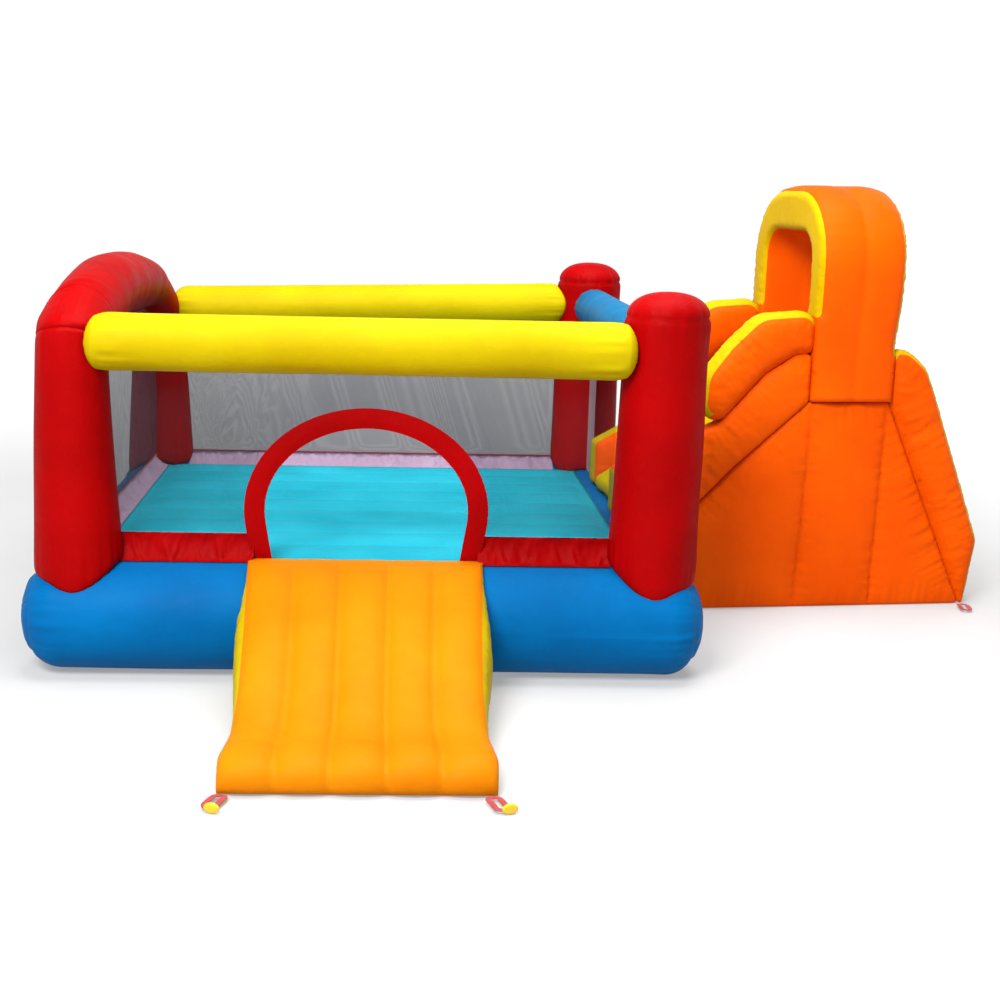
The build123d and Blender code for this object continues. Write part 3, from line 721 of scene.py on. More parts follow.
def pillar(name, x, y, arched, seed, lean=(0, 0), foot_shift=(0, 0)):
    """Red post on the base tubes. An arched one is cut off where the arch grows out of it."""
    top_r = POST_ARCH_R if arched else POST_TOP_R
    foot = lambda p, q: tube_crest(x + p + foot_shift[0], y + q + foot_shift[1]) + SHELL_GAP

    def stand(p, q, t):
        share = np.clip((t - POST_FOOT_Z) / (POST_TOP - POST_FOOT_Z), 0, 1)
        early = 1 - smooth(share / 0.55)
        return np.column_stack([x + p + lean[0] * share + foot_shift[0] * early,
                                y + q + lean[1] * share + foot_shift[1] * early, t * np.ones_like(p)])

    if arched:
        centre, heading = ARCH_FEET[0 if y < 0 else 1]
        top = lambda p, q: (centre[2] - SHELL_GAP - (heading[0] * (x + p - centre[0])
                            + heading[1] * (y + q - centre[1])) / heading[2])
        radius = lambda u: (POST_FOOT_R + (top_r - POST_FOOT_R) * u) - 0.001
        obj = spool(name, RED_CLOTH, radius, foot, top, stand, near_ends(0.0055, 0.05, 0.03, seed, 0.16),
                    pinch=(0.014, 0.004), pinch_reach=0.014)
    else:
        seam_z = POST_TOP - 0.098
        angle = np.linspace(0, math.tau, 96, endpoint=False)
        c, s = np.cos(angle), np.sin(angle)
        rings = []
        for share in np.linspace(0.15, 0.92, 6):
            r = (POST_FOOT_R - 0.012) * share
            rings.append(stand(c * r, s * r, foot(c * r, s * r)))
        base = foot(c * POST_FOOT_R, s * POST_FOOT_R)
        rows = int((seam_z - POST_FOOT_Z) / STEP)
        for j in range(rows + 1):
            u = j / rows
            z = base + (seam_z - base) * u
            r = POST_FOOT_R + (top_r - POST_FOOT_R) * u - 0.001
            d0, d1 = z - base, seam_z - z
            low_folds = patchy(angle * 0.16, 0.03, seed, 0.3, angle, 0.8, seed + 3)
            top_folds = patchy(angle * 0.16, 0.024, seed + 4, 0.5, angle, 0.5, seed + 6)
            change = (0.006 * low_folds * hump(d0, 0.05) - 0.014 * np.exp(-d0 / 0.02)
                      + 0.0062 * top_folds * hump(d1, 0.028) - 0.006 * np.exp(-d1 / 0.008))
            change += 0.002 * (wave_noise(angle + 2.2 * z, 0.9, seed + 7)
                               + wave_noise(3.1 * z - angle, 0.8, seed + 8))
            rings.append(stand(c * (r + change), s * (r + change), z))
        rise = POST_TOP - seam_z - 0.001
        folds = patchy(angle * 0.16, 0.026, seed + 11, 0.5, angle, 0.6, seed + 12)
        for turn in np.linspace(0, 1, 16)[1:] * math.pi / 2:
            r = (top_r - 0.007) * math.cos(turn) ** 0.85
            d = rise * math.sin(turn)
            change = (0.006 * folds * hump(d, 0.02) + 0.004 * (1 - math.exp(-d / 0.01))) * min(1, r / 0.08)
            r = max(r, 0.003) + change
            rings.append(stand(c * r, s * r, np.full(len(angle), seam_z + d)))
        obj = tube_mesh(name, np.array(rings), RED_CLOTH)
    place(obj, "red_cloth", name.replace("_cloth", ""))


def bezier(p0, p1, p2, p3, count):
    t = np.linspace(0, 1, count)[:, None]
    p0, p1, p2, p3 = (np.array(p, float) for p in (p0, p1, p2, p3))
    return (1 - t) ** 3 * p0 + 3 * t * (1 - t) ** 2 * p1 + 3 * t * t * (1 - t) * p2 + t ** 3 * p3


def arch_axis():
    """Middle line of the side arch, from the front left pillar to the back one, and its radius there."""
    (front, _), (back, up_back) = ARCH_FEET
    front, back, up_back = np.array(front), np.array(back), np.array(up_back)
    knee, fall = np.array([LEFT_X, -0.408, 1.437]), np.array([LEFT_X, 0.652, 1.395])
    pieces = [bezier(front, front + np.array([0, 0.037, 0.049]), knee - [0, 0.157, 0.0157], knee, 50),
              bezier(knee, knee + [0, 0.157, 0.0157], fall - [0, 0.121, -0.0242], fall, 60)[1:],
              bezier(fall, fall + [0, 0.097, -0.0194], back + up_back * 0.063, back, 40)[1:]]
    points = resampled(np.vstack(pieces), 0.012, closed=False)
    radii = np.interp(np.linspace(0, 1, len(points)), (0, 0.18, 0.55, 0.82, 1),
                      (0.134, 0.142, 0.140, 0.112, 0.126))
    return points, radii


def side_arch():
    """Red tube that bends out of the two left pillars and runs over the left side."""
    (front, up_front), (back, up_back) = ARCH_FEET
    points, radii = arch_axis()
    length = run_along(points)[-1]

    def wobble(run, angle, radius):
        total = np.zeros(len(angle))
        inner = np.exp(-((angle - math.pi) / 0.9) ** 2)
        for i, at in enumerate((0.0, length)):
            d = abs(run - at)
            rays = patchy(angle * 0.16, 0.026, 310 + i, 0.4, angle, 0.6, 314 + i)
            total += 0.0055 * rays * hump(d, 0.05) - 0.008 * math.exp(-d / 0.012)
        for i, (at, reach) in enumerate(((0.16, 0.09), (length - 0.20, 0.12))):
            fold = creases(np.array([run]), 0.026, 300 + i)[0]
            total += inner * 0.015 * fold * math.exp(-((run - at) / reach) ** 2)
        return total + 0.0022 * (wave_noise(angle + 2 * run, 0.9, 320)
                                 + wave_noise(3 * run - angle, 0.8, 321))

    rings = tube_grid(points, radii, 96, wobble, up=(1, 0, 0))
    travel = np.gradient(points, axis=0)
    # The first and last rings are slid along the tube until they lie in the plane of their joint.
    blend = 16
    for order, centre, heading in ((1, front, unit(up_front)), (-1, back, unit(up_back))):
        ordered, along = rings[::order], unit(travel[::order][0])
        gap = (ordered[0] - np.array(centre)) @ heading
        for k in range(blend):
            ordered[k] -= np.outer(gap / (along @ heading) * (1 - k / blend) ** 1.5, along)
    obj = tube_mesh("side_arch", rings, RED_CLOTH)
    place(obj, "red_cloth", "left_arch")


def post_radius(z, arched):
    top_r, top_z = (POST_ARCH_R, 1.408) if arched else (POST_TOP_R, 1.522)
    return POST_FOOT_R + (top_r - POST_FOOT_R) * (z - POST_FOOT_Z) / (top_z - POST_FOOT_Z)


def post_reach(across, radius):
    """How far a post's side is from its axis, at a distance across from that axis."""
    return np.sqrt(np.maximum(radius ** 2 - across ** 2, 0))


def rail(name, node, material, slot, to_world, radius, low_end, high_end, seed, pinch=0.012):
    obj = spool(name, material, lambda u: radius - 0.001, low_end, high_end, to_world,
                near_ends(0.0055, 0.04, 0.026, seed, 0.11), step=0.012, around=88, pinch=(pinch, pinch),
                pinch_reach=0.018)
    place(obj, slot, node)


def rails():
    low, high = box("rail_front")
    left_r, right_r = post_radius(RAIL_Z, True) + SHELL_GAP, post_radius(RAIL_Z, False) + SHELL_GAP
    share = lambda p, q: (p ** 2 + q ** 2) / (RAIL_R + 0.002) ** 2
    nose = lambda p, q: RAIL_BALL * (1 - np.sqrt(np.clip(1 - share(p, q), 0, 1)))
    rail("front_rail", "rail_front", YELLOW_CLOTH, "yellow_cloth",
         lambda p, q, t: np.column_stack([t, FRONT_RAIL_Y + p, RAIL_Z + q]), RAIL_R,
         lambda p, q: np.maximum(-POST_X + post_reach(FRONT_RAIL_Y + p + POST_Y, left_r),
                                 low[0] + 0.016 + nose(p, q)),
         lambda p, q: np.minimum(POST_X - post_reach(FRONT_RAIL_Y + p + POST_Y, right_r),
                                 high[0] - 0.004 - nose(p, q)), 400, pinch=0.004)
    slope, centre = 0.062 / 2.27, RAIL_Z + 0.008 - 0.031        # the back rail climbs to the right
    rail("back_rail", "rail_back", YELLOW_CLOTH, "yellow_cloth",
         lambda p, q, t: np.column_stack([t, BACK_RAIL_Y + p, centre + slope * t + q]), RAIL_R,
         lambda p, q: -POST_X - 0.030 + post_reach(BACK_RAIL_Y + p - POST_Y, left_r + 0.002),
         lambda p, q: POST_X - post_reach(BACK_RAIL_Y + p - POST_Y, right_r), 430)

    def front_end(p, q):
        """The side rail stops at the post, and at the front rail where that reaches past the post."""
        at_rail = np.where(RIGHT_X + p < 1.045, post_reach(q, RAIL_R + 0.004), 0)
        return np.maximum(-POST_Y + post_reach(RIGHT_X + p - POST_X, right_r), FRONT_RAIL_Y + at_rail)

    rail("right_rail", "rail_right", SKY_CLOTH, "sky_cloth",
         lambda p, q, t: np.column_stack([RIGHT_X + p, t, RAIL_Z + q]), SIDE_RAIL_R, front_end,
         lambda p, q: POST_Y - post_reach(RIGHT_X + p - POST_X, right_r), 460)


# ================================================================ bounce floor
def bounce_floor():
    """Mattress with broad bands across it. Its top cloth laps over the base tubes to the walls."""
    cells = 130
    top_x, top_y = abs(LEFT_X) - 0.060, abs(FRONT_Y) - 0.100
    levels = np.concatenate([[0.427, 0.420, 0.412, 0.404], np.linspace(0.395, 0.24, 10),
                             np.linspace(0.22, 0.004, 10)])

    def extent(z):
        reach = math.sqrt(max((TUBE_R + 0.0015) ** 2 - (z - TUBE_R) ** 2, 0))
        return min(abs(LEFT_X) - reach, top_x), min(abs(FRONT_Y) - reach, top_y)

    gx, gy = np.meshgrid(np.linspace(-1, 1, cells + 1), np.linspace(-1, 1, cells + 1), indexing="xy")
    x, y = gx * top_x, gy * top_y
    edge = np.minimum(top_x - np.abs(x), top_y - np.abs(y))
    crown = lobes((gy + 1) / 2, 9)
    z = FLOOR_TOP + 0.003 + 0.012 * crown * smooth(edge / 0.10)
    flat = np.column_stack([x.ravel(), y.ravel(), 0 * x.ravel()])
    z += 0.0018 * swell(flat, 0.4, 77).reshape(x.shape) * smooth(edge / 0.12)
    z += 0.0026 * creases(x, 0.045, 79) * (1 - crown) ** 2 * smooth(edge / 0.12)
    for off in (abs(LEFT_X) - np.abs(x), abs(FRONT_Y) - np.abs(y)):
        flank = TUBE_R + np.sqrt(np.maximum((TUBE_R + 0.0040) ** 2 - off ** 2, 0))
        z = np.where(off < 0.16, np.maximum(z, flank), z)
    points = [np.column_stack([x.ravel(), y.ravel(), z.ravel()])]
    index = np.arange((cells + 1) ** 2).reshape(cells + 1, cells + 1)
    faces = quads(cells + 1, cells + 1, ring=False)
    border = list(index[0, :-1]) + list(index[:-1, -1]) + list(index[-1, :0:-1]) + list(index[:0:-1, 0])
    unit = np.column_stack([gx.ravel(), gy.ravel()])[border]
    rim = z.ravel()[border]
    previous, start, size = border, len(points[0]), len(border)
    for n, z_level in enumerate(levels):
        ex, ey = extent(z_level)
        points.append(np.column_stack([unit[:, 0] * ex, unit[:, 1] * ey,
                                       np.minimum(z_level, rim - 0.0008 * (n + 1))]))
        ring = list(range(start, start + size))
        for i in range(size):
            k = (i + 1) % size
            faces.append((previous[i], ring[i], ring[k], previous[k]))
        previous, start = ring, start + size
    points.append(np.array([[0, 0, levels[-1]]]))
    for i in range(size):
        faces.append((start, previous[(i + 1) % size], previous[i]))
    faces = [tuple(int(v) for v in f) for f in faces]
    obj = new_mesh("floor_mattress", np.vstack(points), faces, [FLOOR_CLOTH])
    place(obj, "floor_cloth", "bounce_floor")


# ================================================================ slide tower
def tower_world(u, v, z):
    c, s = math.cos(TOWER_TURN), math.sin(TOWER_TURN)
    return np.column_stack([TOWER_CORNER[0] + u * c - v * s, TOWER_CORNER[1] + u * s + v * c, z])


def tower_side(local):
    return tower_world(local[:, 0], local[:, 2], local[:, 1])


def tower_front(local):
    return tower_world(local[:, 2], local[:, 0], local[:, 1])


def shrunk(outline, amount):
    """The outline moved inwards by amount."""
    points = anticlockwise(np.array(outline, float))
    ahead = unit(np.roll(points, -1, axis=0) - points)
    inward = np.column_stack([-ahead[:, 1], ahead[:, 0]])
    before = np.roll(inward, 1, axis=0)
    middle_way = unit(before + inward)
    return points + middle_way * amount / np.maximum((middle_way * before).sum(axis=1), 0.35)[:, None]


def mm(*pairs):
    return [(a / 1000, b / 1000) for a, b in pairs]


# Side views of the tower's pieces, as pairs of u and z in millimetres.
WALL = mm((222, 0), (1700, 0), (1262, 968), (875, 968), (528, 658), (305, 430), (160, 430), (205, 330),
          (222, 218))
WALL_SEAMS = [mm((868, 0), (898, 964)), mm((1238, 0), (1258, 964))]
SLIDE_RAIL = mm((-22, 442), (313, 442), (528, 664), (875, 972), (875, 1190), (800, 1185), (660, 1095),
                (456, 868), (-22, 660))
RAIL_SEAM = mm((300, 440), (372, 520), (402, 640), (404, 820))
GUARD = mm((886, 1190), (800, 1190), (660, 1100), (456, 872), (374, 932), (382, 1088), (482, 1222),
           (622, 1358), (886, 1378))
CLIMB = mm((1704, 0), (1716, 0), (1756, 310), (1482, 1010), (1432, 1122), (1342, 1196), (1272, 1200),
           (1272, 972))
CLIMB_SEAMS = [mm((1275, 1190), (1330, 1090), (1440, 1030)), mm((1350, 800), (1510, 900))]
BED = mm((60, 446), (60, 500), (872, 1000), (872, 0), (225, 0), (208, 330), (160, 430), (120, 446))
DECK = mm((877, 0), (1214, 0), (1214, 966), (877, 966))
WEDGE = mm((1222, 0), (1636, 0), (1260, 962), (1222, 962))


def tower_piece(name, node, outline, side, materials, slot, seed, inset=0.006, bulge=0.03, band=0.010,
                **options):
    """Chamber of the tower: side is its span across the tower, materials those of its panels and band."""
    slab = Slab(shrunk(outline, inset), side[0] + bulge * 0.88, side[1] - bulge * 0.88, tower_side,
                seed=seed, bulge=(bulge, bulge), band=band, **options)
    obj = slab.build(name, *materials)
    place(obj, slot, node)


def slide_tower():
    near, far = (0.0, TOWER_SIDE), (TOWER_W - TOWER_SIDE, TOWER_W)
    between = (near[1], far[0])
    orange, trimmed = (ORANGE_CLOTH, ORANGE_CLOTH), (ORANGE_CLOTH, YELLOW_CLOTH)
    top_or_end = lambda ring, normal: ~((normal[:, 1] > 0.25) | (normal[:, 0] < -0.62))
    end_only = lambda ring, normal: ~(normal[:, 0] < -0.85)
    outer = lambda ring, normal: ~((normal[:, 0] > 0.3) | (normal[:, 1] > 0.5))
    for label, side, seed in (("near", near, 500), ("far", far, 600)):
        tower_piece(f"side_wall_{label}", f"tower_wall_{label}", WALL, side, orange, "orange_cloth", seed,
                    inset=0.0008, bulge=0.052, band=0.0005, corner=0.02, seams=WALL_SEAMS, seam_depth=1.0,
                    gather=0.008, gather_reach=0.034)
        outline, rule = SLIDE_RAIL, end_only
        if label == "far":          # the far rail stops at the mouth panel
            outline, rule = [(max(u, 0.070), z) for u, z in SLIDE_RAIL], top_or_end
        tower_piece(f"slope_rail_{label}", f"slide_rail_{label}", outline, side, trimmed, "yellow_cloth",
                    seed + 10, inset=0.0008, bulge=0.044, band=0.001, corner=0.03, seams=[RAIL_SEAM],
                    seam_depth=0.42, gather=0.008, gather_reach=0.04, other=rule)
        tower_piece(f"top_guard_{label}", f"slide_guard_{label}", GUARD, side, trimmed, "yellow_cloth",
                    seed + 20, inset=0.016, bulge=0.036, band=0.026, corner=0.12, gather=0.009,
                    gather_reach=0.04, other=top_or_end)
        tower_piece(f"stair_rail_{label}", f"climb_rail_{label}", CLIMB, side, (ORANGE_CLOTH, GOLD_CLOTH),
                    "orange_cloth", seed + 30, inset=0.008, bulge=0.042, band=0.020, corner=0.08,
                    seams=CLIMB_SEAMS, seam_depth=0.30, gather=0.009, gather_reach=0.04, other=outer)
    tower_piece("slide_surface", "slide_bed", BED, between, (YELLOW_CLOTH, YELLOW_CLOTH), "yellow_cloth",
                700, bulge=0.012, band=0.012, corner=0.015, band_lobes=3, band_mix=0.6)
    tower_piece("deck_block", "tower_deck", DECK, between, orange, "orange_cloth", 720, bulge=0.012,
                corner=0.03)
    tower_piece("stair_wall", "climb_wall", WEDGE, between, orange, "orange_cloth", 740, bulge=0.012,
                band=0.012, corner=0.03, band_lobes=2, band_mix=0.6)
    tower_arch()
    treads()


def tower_arch():
    """Arch over the deck: yellow flat faces, orange band outside in two lobes, folded inside."""
    top, foot, portal = 1.932, 0.951, 1.715
    inner0, inner1 = TOWER_SIDE, TOWER_W - TOWER_SIDE

    def corner(cx, cz, r, a0, a1, count=9):
        return [(cx + r * math.cos(a), cz + r * math.sin(a))
                for a in np.radians(np.linspace(a0, a1, count))]

    big, small = 0.34, 0.115
    outline = [(TOWER_W - 0.001, foot)]
    outline += corner(TOWER_W - big, top - big, big, 0, 90)
    outline += corner(big, top - big, big, 90, 180)
    outline += [(0.001, foot), (inner0, foot)]
    outline += corner(inner0 + small, portal - small, small, 180, 90)
    outline += corner(inner1 - small, portal - small, small, 90, 0)
    outline += [(inner1, foot)]
    low_u, high_u = 0.877, 1.268
    guard_top, climb_top = 1.360, 1.180

    def rule(ring, normal):
        v, z = ring[:, 0], ring[:, 1]
        inner = (v > inner0 - 0.03) & (v < inner1 + 0.03) & (z < portal + 0.03)
        feet = z < foot + 0.03
        return np.where(feet, 0.02, np.where(inner, 0.45, 1.0))

    slab = Slab(shrunk(outline, 0.020), low_u + 0.018, high_u - 0.018, tower_front, corner=0.01, seed=800,
                bulge=(0.026, 0.030), band=0.030, band_lobes=2, band_mix=0.55, band_rule=rule, gather=0.0065,
                gather_reach=0.038, gather_pitch=0.028)

    def reshape(local):
        out = local.copy()
        z, u = local[:, 1], local[:, 2]
        share = np.clip((u - low_u) / (high_u - low_u), 0, 1)
        out[:, 2] += 0.020 * share * smooth((z - 1.19) / 0.30)
        near_guard = smooth((guard_top + 0.02 - z) / 0.04)
        out[:, 2] -= 0.017 * near_guard * (1 - smooth(share / 0.2))
        out[:, 2] = np.where(share < 0.5, np.maximum(out[:, 2], low_u), out[:, 2])
        near_rail = smooth((climb_top + 0.03 - z) / 0.05)
        out[:, 2] += 0.017 * near_rail * smooth((share - 0.8) / 0.2)
        out[:, 2] = np.where((z < climb_top), np.minimum(out[:, 2], high_u + 0.001), out[:, 2])
        centre = TOWER_W / 2
        out[:, 0] = centre + (local[:, 0] - centre) * (1 + 0.012 * smooth((z - 1.2) / 0.3))
        return out

    for i, face in enumerate(slab.faces):
        if slab.kinds[i] == 0:
            v, z, u = slab.local[list(face)].mean(axis=0)
            limit = guard_top if u < (low_u + high_u) / 2 else climb_top
            if z < limit:
                slab.kinds[i] = 1
    obj = slab.build("portal_arch", GOLD_CLOTH, ORANGE_CLOTH, reshape)
    place(obj, "orange_cloth", "tower_arch")


def treads():
    """Half-round steps across the climbing face, as one piece of four stuffed rolls."""
    points, faces = [], []
    foot_u, top_u, rise = 1.640, 1.262, 0.966
    along = unit((top_u - foot_u, rise))
    out = np.array([along[1], -along[0]])
    half = (TOWER_W - 2 * TOWER_SIDE - 0.04) / 2
    rows, section = 49, np.linspace(-math.pi / 2, math.pi / 2, 20)
    for k in range(4):
        base = np.array([foot_u, 0.0]) + along * (0.190 + 0.215 * k) + out * 0.003
        start = len(points)
        for t in np.linspace(0, 1, rows):
            r = 0.041 * math.sin(math.pi * min(max(t, 0.001), 0.999)) ** 0.22
            fold = 0.0025 * creases(np.array([t * 3 + k]), 0.08, 850 + k)[0] * math.exp(-min(t, 1 - t) / 0.07)
            for a in section:
                reach = r + fold if abs(a) < 1.5 else r
                flat = base + along * (reach * math.sin(a)) + out * (reach * math.cos(a))
                points.append((flat[0], TOWER_W / 2 - half + 2 * half * t, flat[1]))
        size = len(section)
        faces += quads(rows, size, start)
        faces.append(tuple(range(start, start + size))[::-1])
        faces.append(tuple(range(start + (rows - 1) * size, start + rows * size)))
    points = np.array(points)
    world = tower_world(points[:, 0], points[:, 1], points[:, 2])
    obj = new_mesh("stair_treads", world, faces, [YELLOW_CLOTH])
    place(obj, "yellow_cloth", "climb_steps")


# ================================================================ entry ramp
RAMP_HALF, RAMP_SIDE = 0.432, 0.034


def entry_ramp():
    """Five air channels side by side down to a rounded bumper, between two yellow side panels."""
    top = [(-1.098, 0.4405), (-1.102, 0.4450), (-1.200, 0.442), (-1.640, 0.280), (-1.980, 0.144),
           (-2.080, 0.108), (-2.150, 0.090), (-2.210, 0.085), (-2.270, 0.088), (-2.330, 0.084),
           (-2.376, 0.066), (-2.400, 0.035), (-2.396, 0.0)]
    reach = TUBE_R + 0.005
    back = [(FRONT_Y - reach * math.cos(a), TUBE_R + reach * math.sin(a))
            for a in np.radians(np.linspace(-74, 86, 17))]
    outline = top + back
    bulge, channels = 0.040, 5
    half = RAMP_HALF + RAMP_SIDE - 0.002
    seam_x = half - bulge * 0.6             # the side panels' seams

    def rule(ring, normal):
        y, z = ring[:, 0], ring[:, 1]
        behind = (y > FRONT_Y - TUBE_R - 0.05) & (normal[:, 1] < 0.35)
        under = (z < 0.02) & (normal[:, 1] < -0.5)
        lip = smooth((-1.10 - y) / 0.22)
        foot = 0.35 + 0.65 * smooth((z - 0.005) / 0.06)
        return np.where(behind | under, 0.02, foot) * np.clip(lip, 0.08, 1)

    slab = Slab(np.array(outline), -seam_x, seam_x, lambda l: l[:, [2, 0, 1]],
                corner=[0.004, 0.010, 0.16, 0.20] + [0.10] * 6 + [0.03, 0.02, 0.01] + [0.01] * 17,
                seed=900, bulge=(bulge, bulge), band=0.038, band_lobes=channels, band_mix=0.88, band_rule=rule,
                gather=0.006, gather_reach=0.035)

    def reshape(local):
        out = local.copy()
        y, z, x = local[:, 0], local[:, 1], local[:, 2]
        lobe = (np.clip((x + seam_x) / (2 * seam_x), 0, 1) * channels) % 1.0
        near_seam = np.exp(-np.minimum(lobe, 1 - lobe) / 0.20)
        upper = smooth((z - 0.012) / 0.03)
        front = smooth((-2.16 - y) / 0.08)
        ripple = creases(x + 0.02 * z, 0.030, 930) * front + 0.3 * creases(y, 0.026, 931)
        inner = (np.abs(x) < seam_x) * upper * (y < -1.2)
        out[:, 1] += inner * near_seam * ripple * 0.004 * (1 - 0.6 * front)
        out[:, 0] += inner * front * creases(x, 0.045, 932) * 0.006 * np.exp(-z / 0.06)
        width = np.interp(-y, (1.10, 1.30, 1.60, 1.90, 2.10, 2.20, 2.30, 2.41),
                          (0.463, 0.452, 0.436, 0.425, 0.428, 0.444, 0.452, 0.446))
        side = np.interp(-y, (1.10, 1.35, 1.60, 1.90, 2.20, 2.41), (0.3, 0.75, 0.80, 0.55, 0.18, 0.15))
        beyond = np.maximum(np.abs(x) - seam_x, 0)
        out[:, 2] = np.sign(x) * (np.minimum(np.abs(x), seam_x) / seam_x * width + beyond * side * 1.25)
        out[:, 1] = np.maximum(out[:, 1], 0)
        return out

    obj = slab.build("entry_ramp_chambers", YELLOW_CLOTH, RAMP_CLOTH, reshape)
    place(obj, "ramp_cloth", "entry_ramp", "ramp_sides")


# ================================================================ cloth panels
def sheet_mesh(name, outline, step, to_world, material, relief):
    """Open sheet cut to an outline. relief(flat, distance, along) gives how far it stands out."""
    outline = anticlockwise(resampled(np.array(outline, float), step))
    flat, triangles, _, _ = pattern(outline, (), step)
    height = relief(flat, *nearest_on(flat, outline))
    points = to_world(flat[:, 0], flat[:, 1], height)
    return new_mesh(name, points, [tuple(int(v) for v in t) for t in triangles], [material])


def ellipse_arc(size, z, a0, a1, count):
    turn = np.radians(np.linspace(a0, a1, count))
    return [(size[0] * math.cos(a), z + size[1] * math.sin(a)) for a in turn]


RING_Z, RING_OUTER, RING_INNER = 0.640, (0.480, 0.411), (0.399, 0.331)
RING_FOOT, RING_BAND = 0.370, 0.081
CREST = 0.438                   # just above the top of the base tubes
HEM_TOP, APRON_TOP = 0.486, 0.548
LEFT_LAP, BACK_LAP = 0.064, 0.104
SEWN = -0.003                   # cloth edges run this far into the face of the post they are sewn to


def front_world(x, z, out):
    return np.column_stack([x, -POST_Y + out, z])


def entrance_ring():
    """Flat double band round the way in, bound at both edges and lightly puckered by its stitching."""
    foot = CREST + 0.004
    outer = [(RING_FOOT + RING_BAND, foot)] + ellipse_arc(RING_OUTER, RING_Z, -8, 188, 70) \
        + [(-RING_FOOT - RING_BAND, foot)]
    inner = [(-RING_FOOT, foot)] + ellipse_arc(RING_INNER, RING_Z, 188, -8, 60) + [(RING_FOOT, foot)]
    outline = resampled(np.array(outer + inner), 0.009)

    def relief(flat, distance, along):
        pucker = creases(along, 0.016, 950) * np.exp(-((distance - 0.008) / 0.008) ** 2)
        swell_out = 0.004 * np.sin(np.clip(distance / 0.04, 0, 1) * math.pi / 2)
        return -(0.003 + swell_out + 0.0016 * pucker + 0.0014 * wave_noise(along, 0.10, 955))

    obj = sheet_mesh("ring_band", outline, 0.010, front_world, RED_FLAT, relief)
    place(obj, "red_cloth", "entrance_ring")


def piping(name, path):
    """Thin piping along a path."""
    path = resampled(np.array(path, float), 0.009, closed=False)
    tangent = unit(np.gradient(path, axis=0))
    side = unit(np.cross(tangent, np.array([0.31, 0.47, 0.83])))
    top = np.cross(side, tangent)
    angle = np.linspace(0, math.tau, 8, endpoint=False)
    r = 0.0032 * (1 + 0.16 * wave_noise(np.arange(len(path)) * 0.009, 0.02, 1))
    rings = [path[i] + r[i] * (np.outer(np.cos(angle), side[i]) + np.outer(np.sin(angle), top[i]))
             for i in range(len(path))]
    obj = tube_mesh(name, np.array(rings), PIPING)
    place(obj, "red_cloth")


def post_edge(z, arched, margin):
    return POST_X - post_radius(z, arched) - margin


def front_net():
    """Mesh from the apron up to the front rail, cut round the ring."""
    foot, top = APRON_TOP + 0.001, RAIL_Z - 0.085
    left = [(-post_edge(z, True, SEWN), z) for z in np.linspace(foot, top, 24)]
    right = [(post_edge(z, False, SEWN), z) for z in np.linspace(top, foot, 24)]
    size = (RING_OUTER[0] - 0.010, RING_OUTER[1] - 0.010)
    start = math.degrees(math.asin((foot - RING_Z) / size[1]))
    outline = left + right + ellipse_arc(size, RING_Z, start, 180 - start, 80)

    def relief(flat, distance, along):
        x, z = flat.T
        stretch = 0.006 * wave_noise(x * 1.3 + z * 0.5, 0.09, 960)
        fold = 0.005 * creases(x + 0.4 * z, 0.05, 962) * np.exp(-(z - foot) / 0.12)
        return 0.004 + (stretch + fold) * smooth(distance / 0.05)

    obj = sheet_mesh("front_mesh", outline, 0.022, front_world, NET_FRONT, relief)
    place(obj, "net_grey", "net_front")


def back_and_left_nets():
    """Mesh walls. The left one is pulled in folds over the back left pillar."""
    foot, top = HEM_TOP + 0.001, RAIL_Z - 0.09
    edge = [(post_edge(z, False, SEWN), z) for z in np.linspace(foot, top, 20)]
    left = [(-post_edge(z, True, SEWN), z) for z in np.linspace(top - 0.03, foot, 20)]
    outline = edge + left

    def relief(flat, distance, along):
        x, z = flat.T
        fan = 0.007 * creases(x * 0.9 - 0.35 * z, 0.07, 970) * np.exp(-np.abs(x + 0.95) / 0.16)
        stretch = 0.003 * wave_noise(x + 0.3 * z, 0.13, 971)
        return (fan + stretch) * smooth(distance / 0.05)

    obj = sheet_mesh("back_mesh", outline, 0.022, lambda x, z, out: np.column_stack([x, POST_Y - out, z]),
                     NET, relief)
    place(obj, "net_grey", "net_back")

    edge = [(-POST_Y + post_radius(z, True) + SEWN, z) for z in np.linspace(foot + 0.030, 1.18, 20)]
    back = [(POST_Y - post_radius(z, True) - SEWN, z) for z in np.linspace(1.10, foot, 20)]
    axis, radii = arch_axis()
    along = unit(np.gradient(axis, axis=0))
    reach = radii + SEWN
    under = np.column_stack([axis[:, 1] + along[:, 2] * reach, axis[:, 2] - along[:, 1] * reach])
    under = [tuple(p) for p in under if -0.93 < p[0] < 0.93 and p[1] > 1.14]
    outline = edge + under + back

    def relief_left(flat, distance, along):
        y, z = flat.T
        fan = 0.016 * creases(0.8 * y + 0.4 * z, 0.06, 975) * np.exp(-(0.95 - y) / 0.3)
        stretch = 0.004 * wave_noise(y - 0.3 * z, 0.12, 976)
        return (fan + stretch) * smooth(distance / 0.05)

    obj = sheet_mesh("left_mesh", outline, 0.022, lambda y, z, out: np.column_stack([LEFT_X + out, y, z]),
                     NET, relief_left)
    place(obj, "net_grey", "net_left")


def off_tubes(points):
    """The points moved out of the base tubes, where a fold has been pushed into one."""
    out = points.copy()
    for axis, centre in ((1, FRONT_Y), (1, BACK_Y), (0, LEFT_X)):
        across, up = out[:, axis] - centre, out[:, 2] - TUBE_R
        reach = np.maximum(np.hypot(across, up), 1e-6)
        push = np.where(reach < TUBE_R + 0.0045, (TUBE_R + 0.0045) / reach, 1)
        out[:, axis], out[:, 2] = centre + across * push, TUBE_R + up * push
    return out


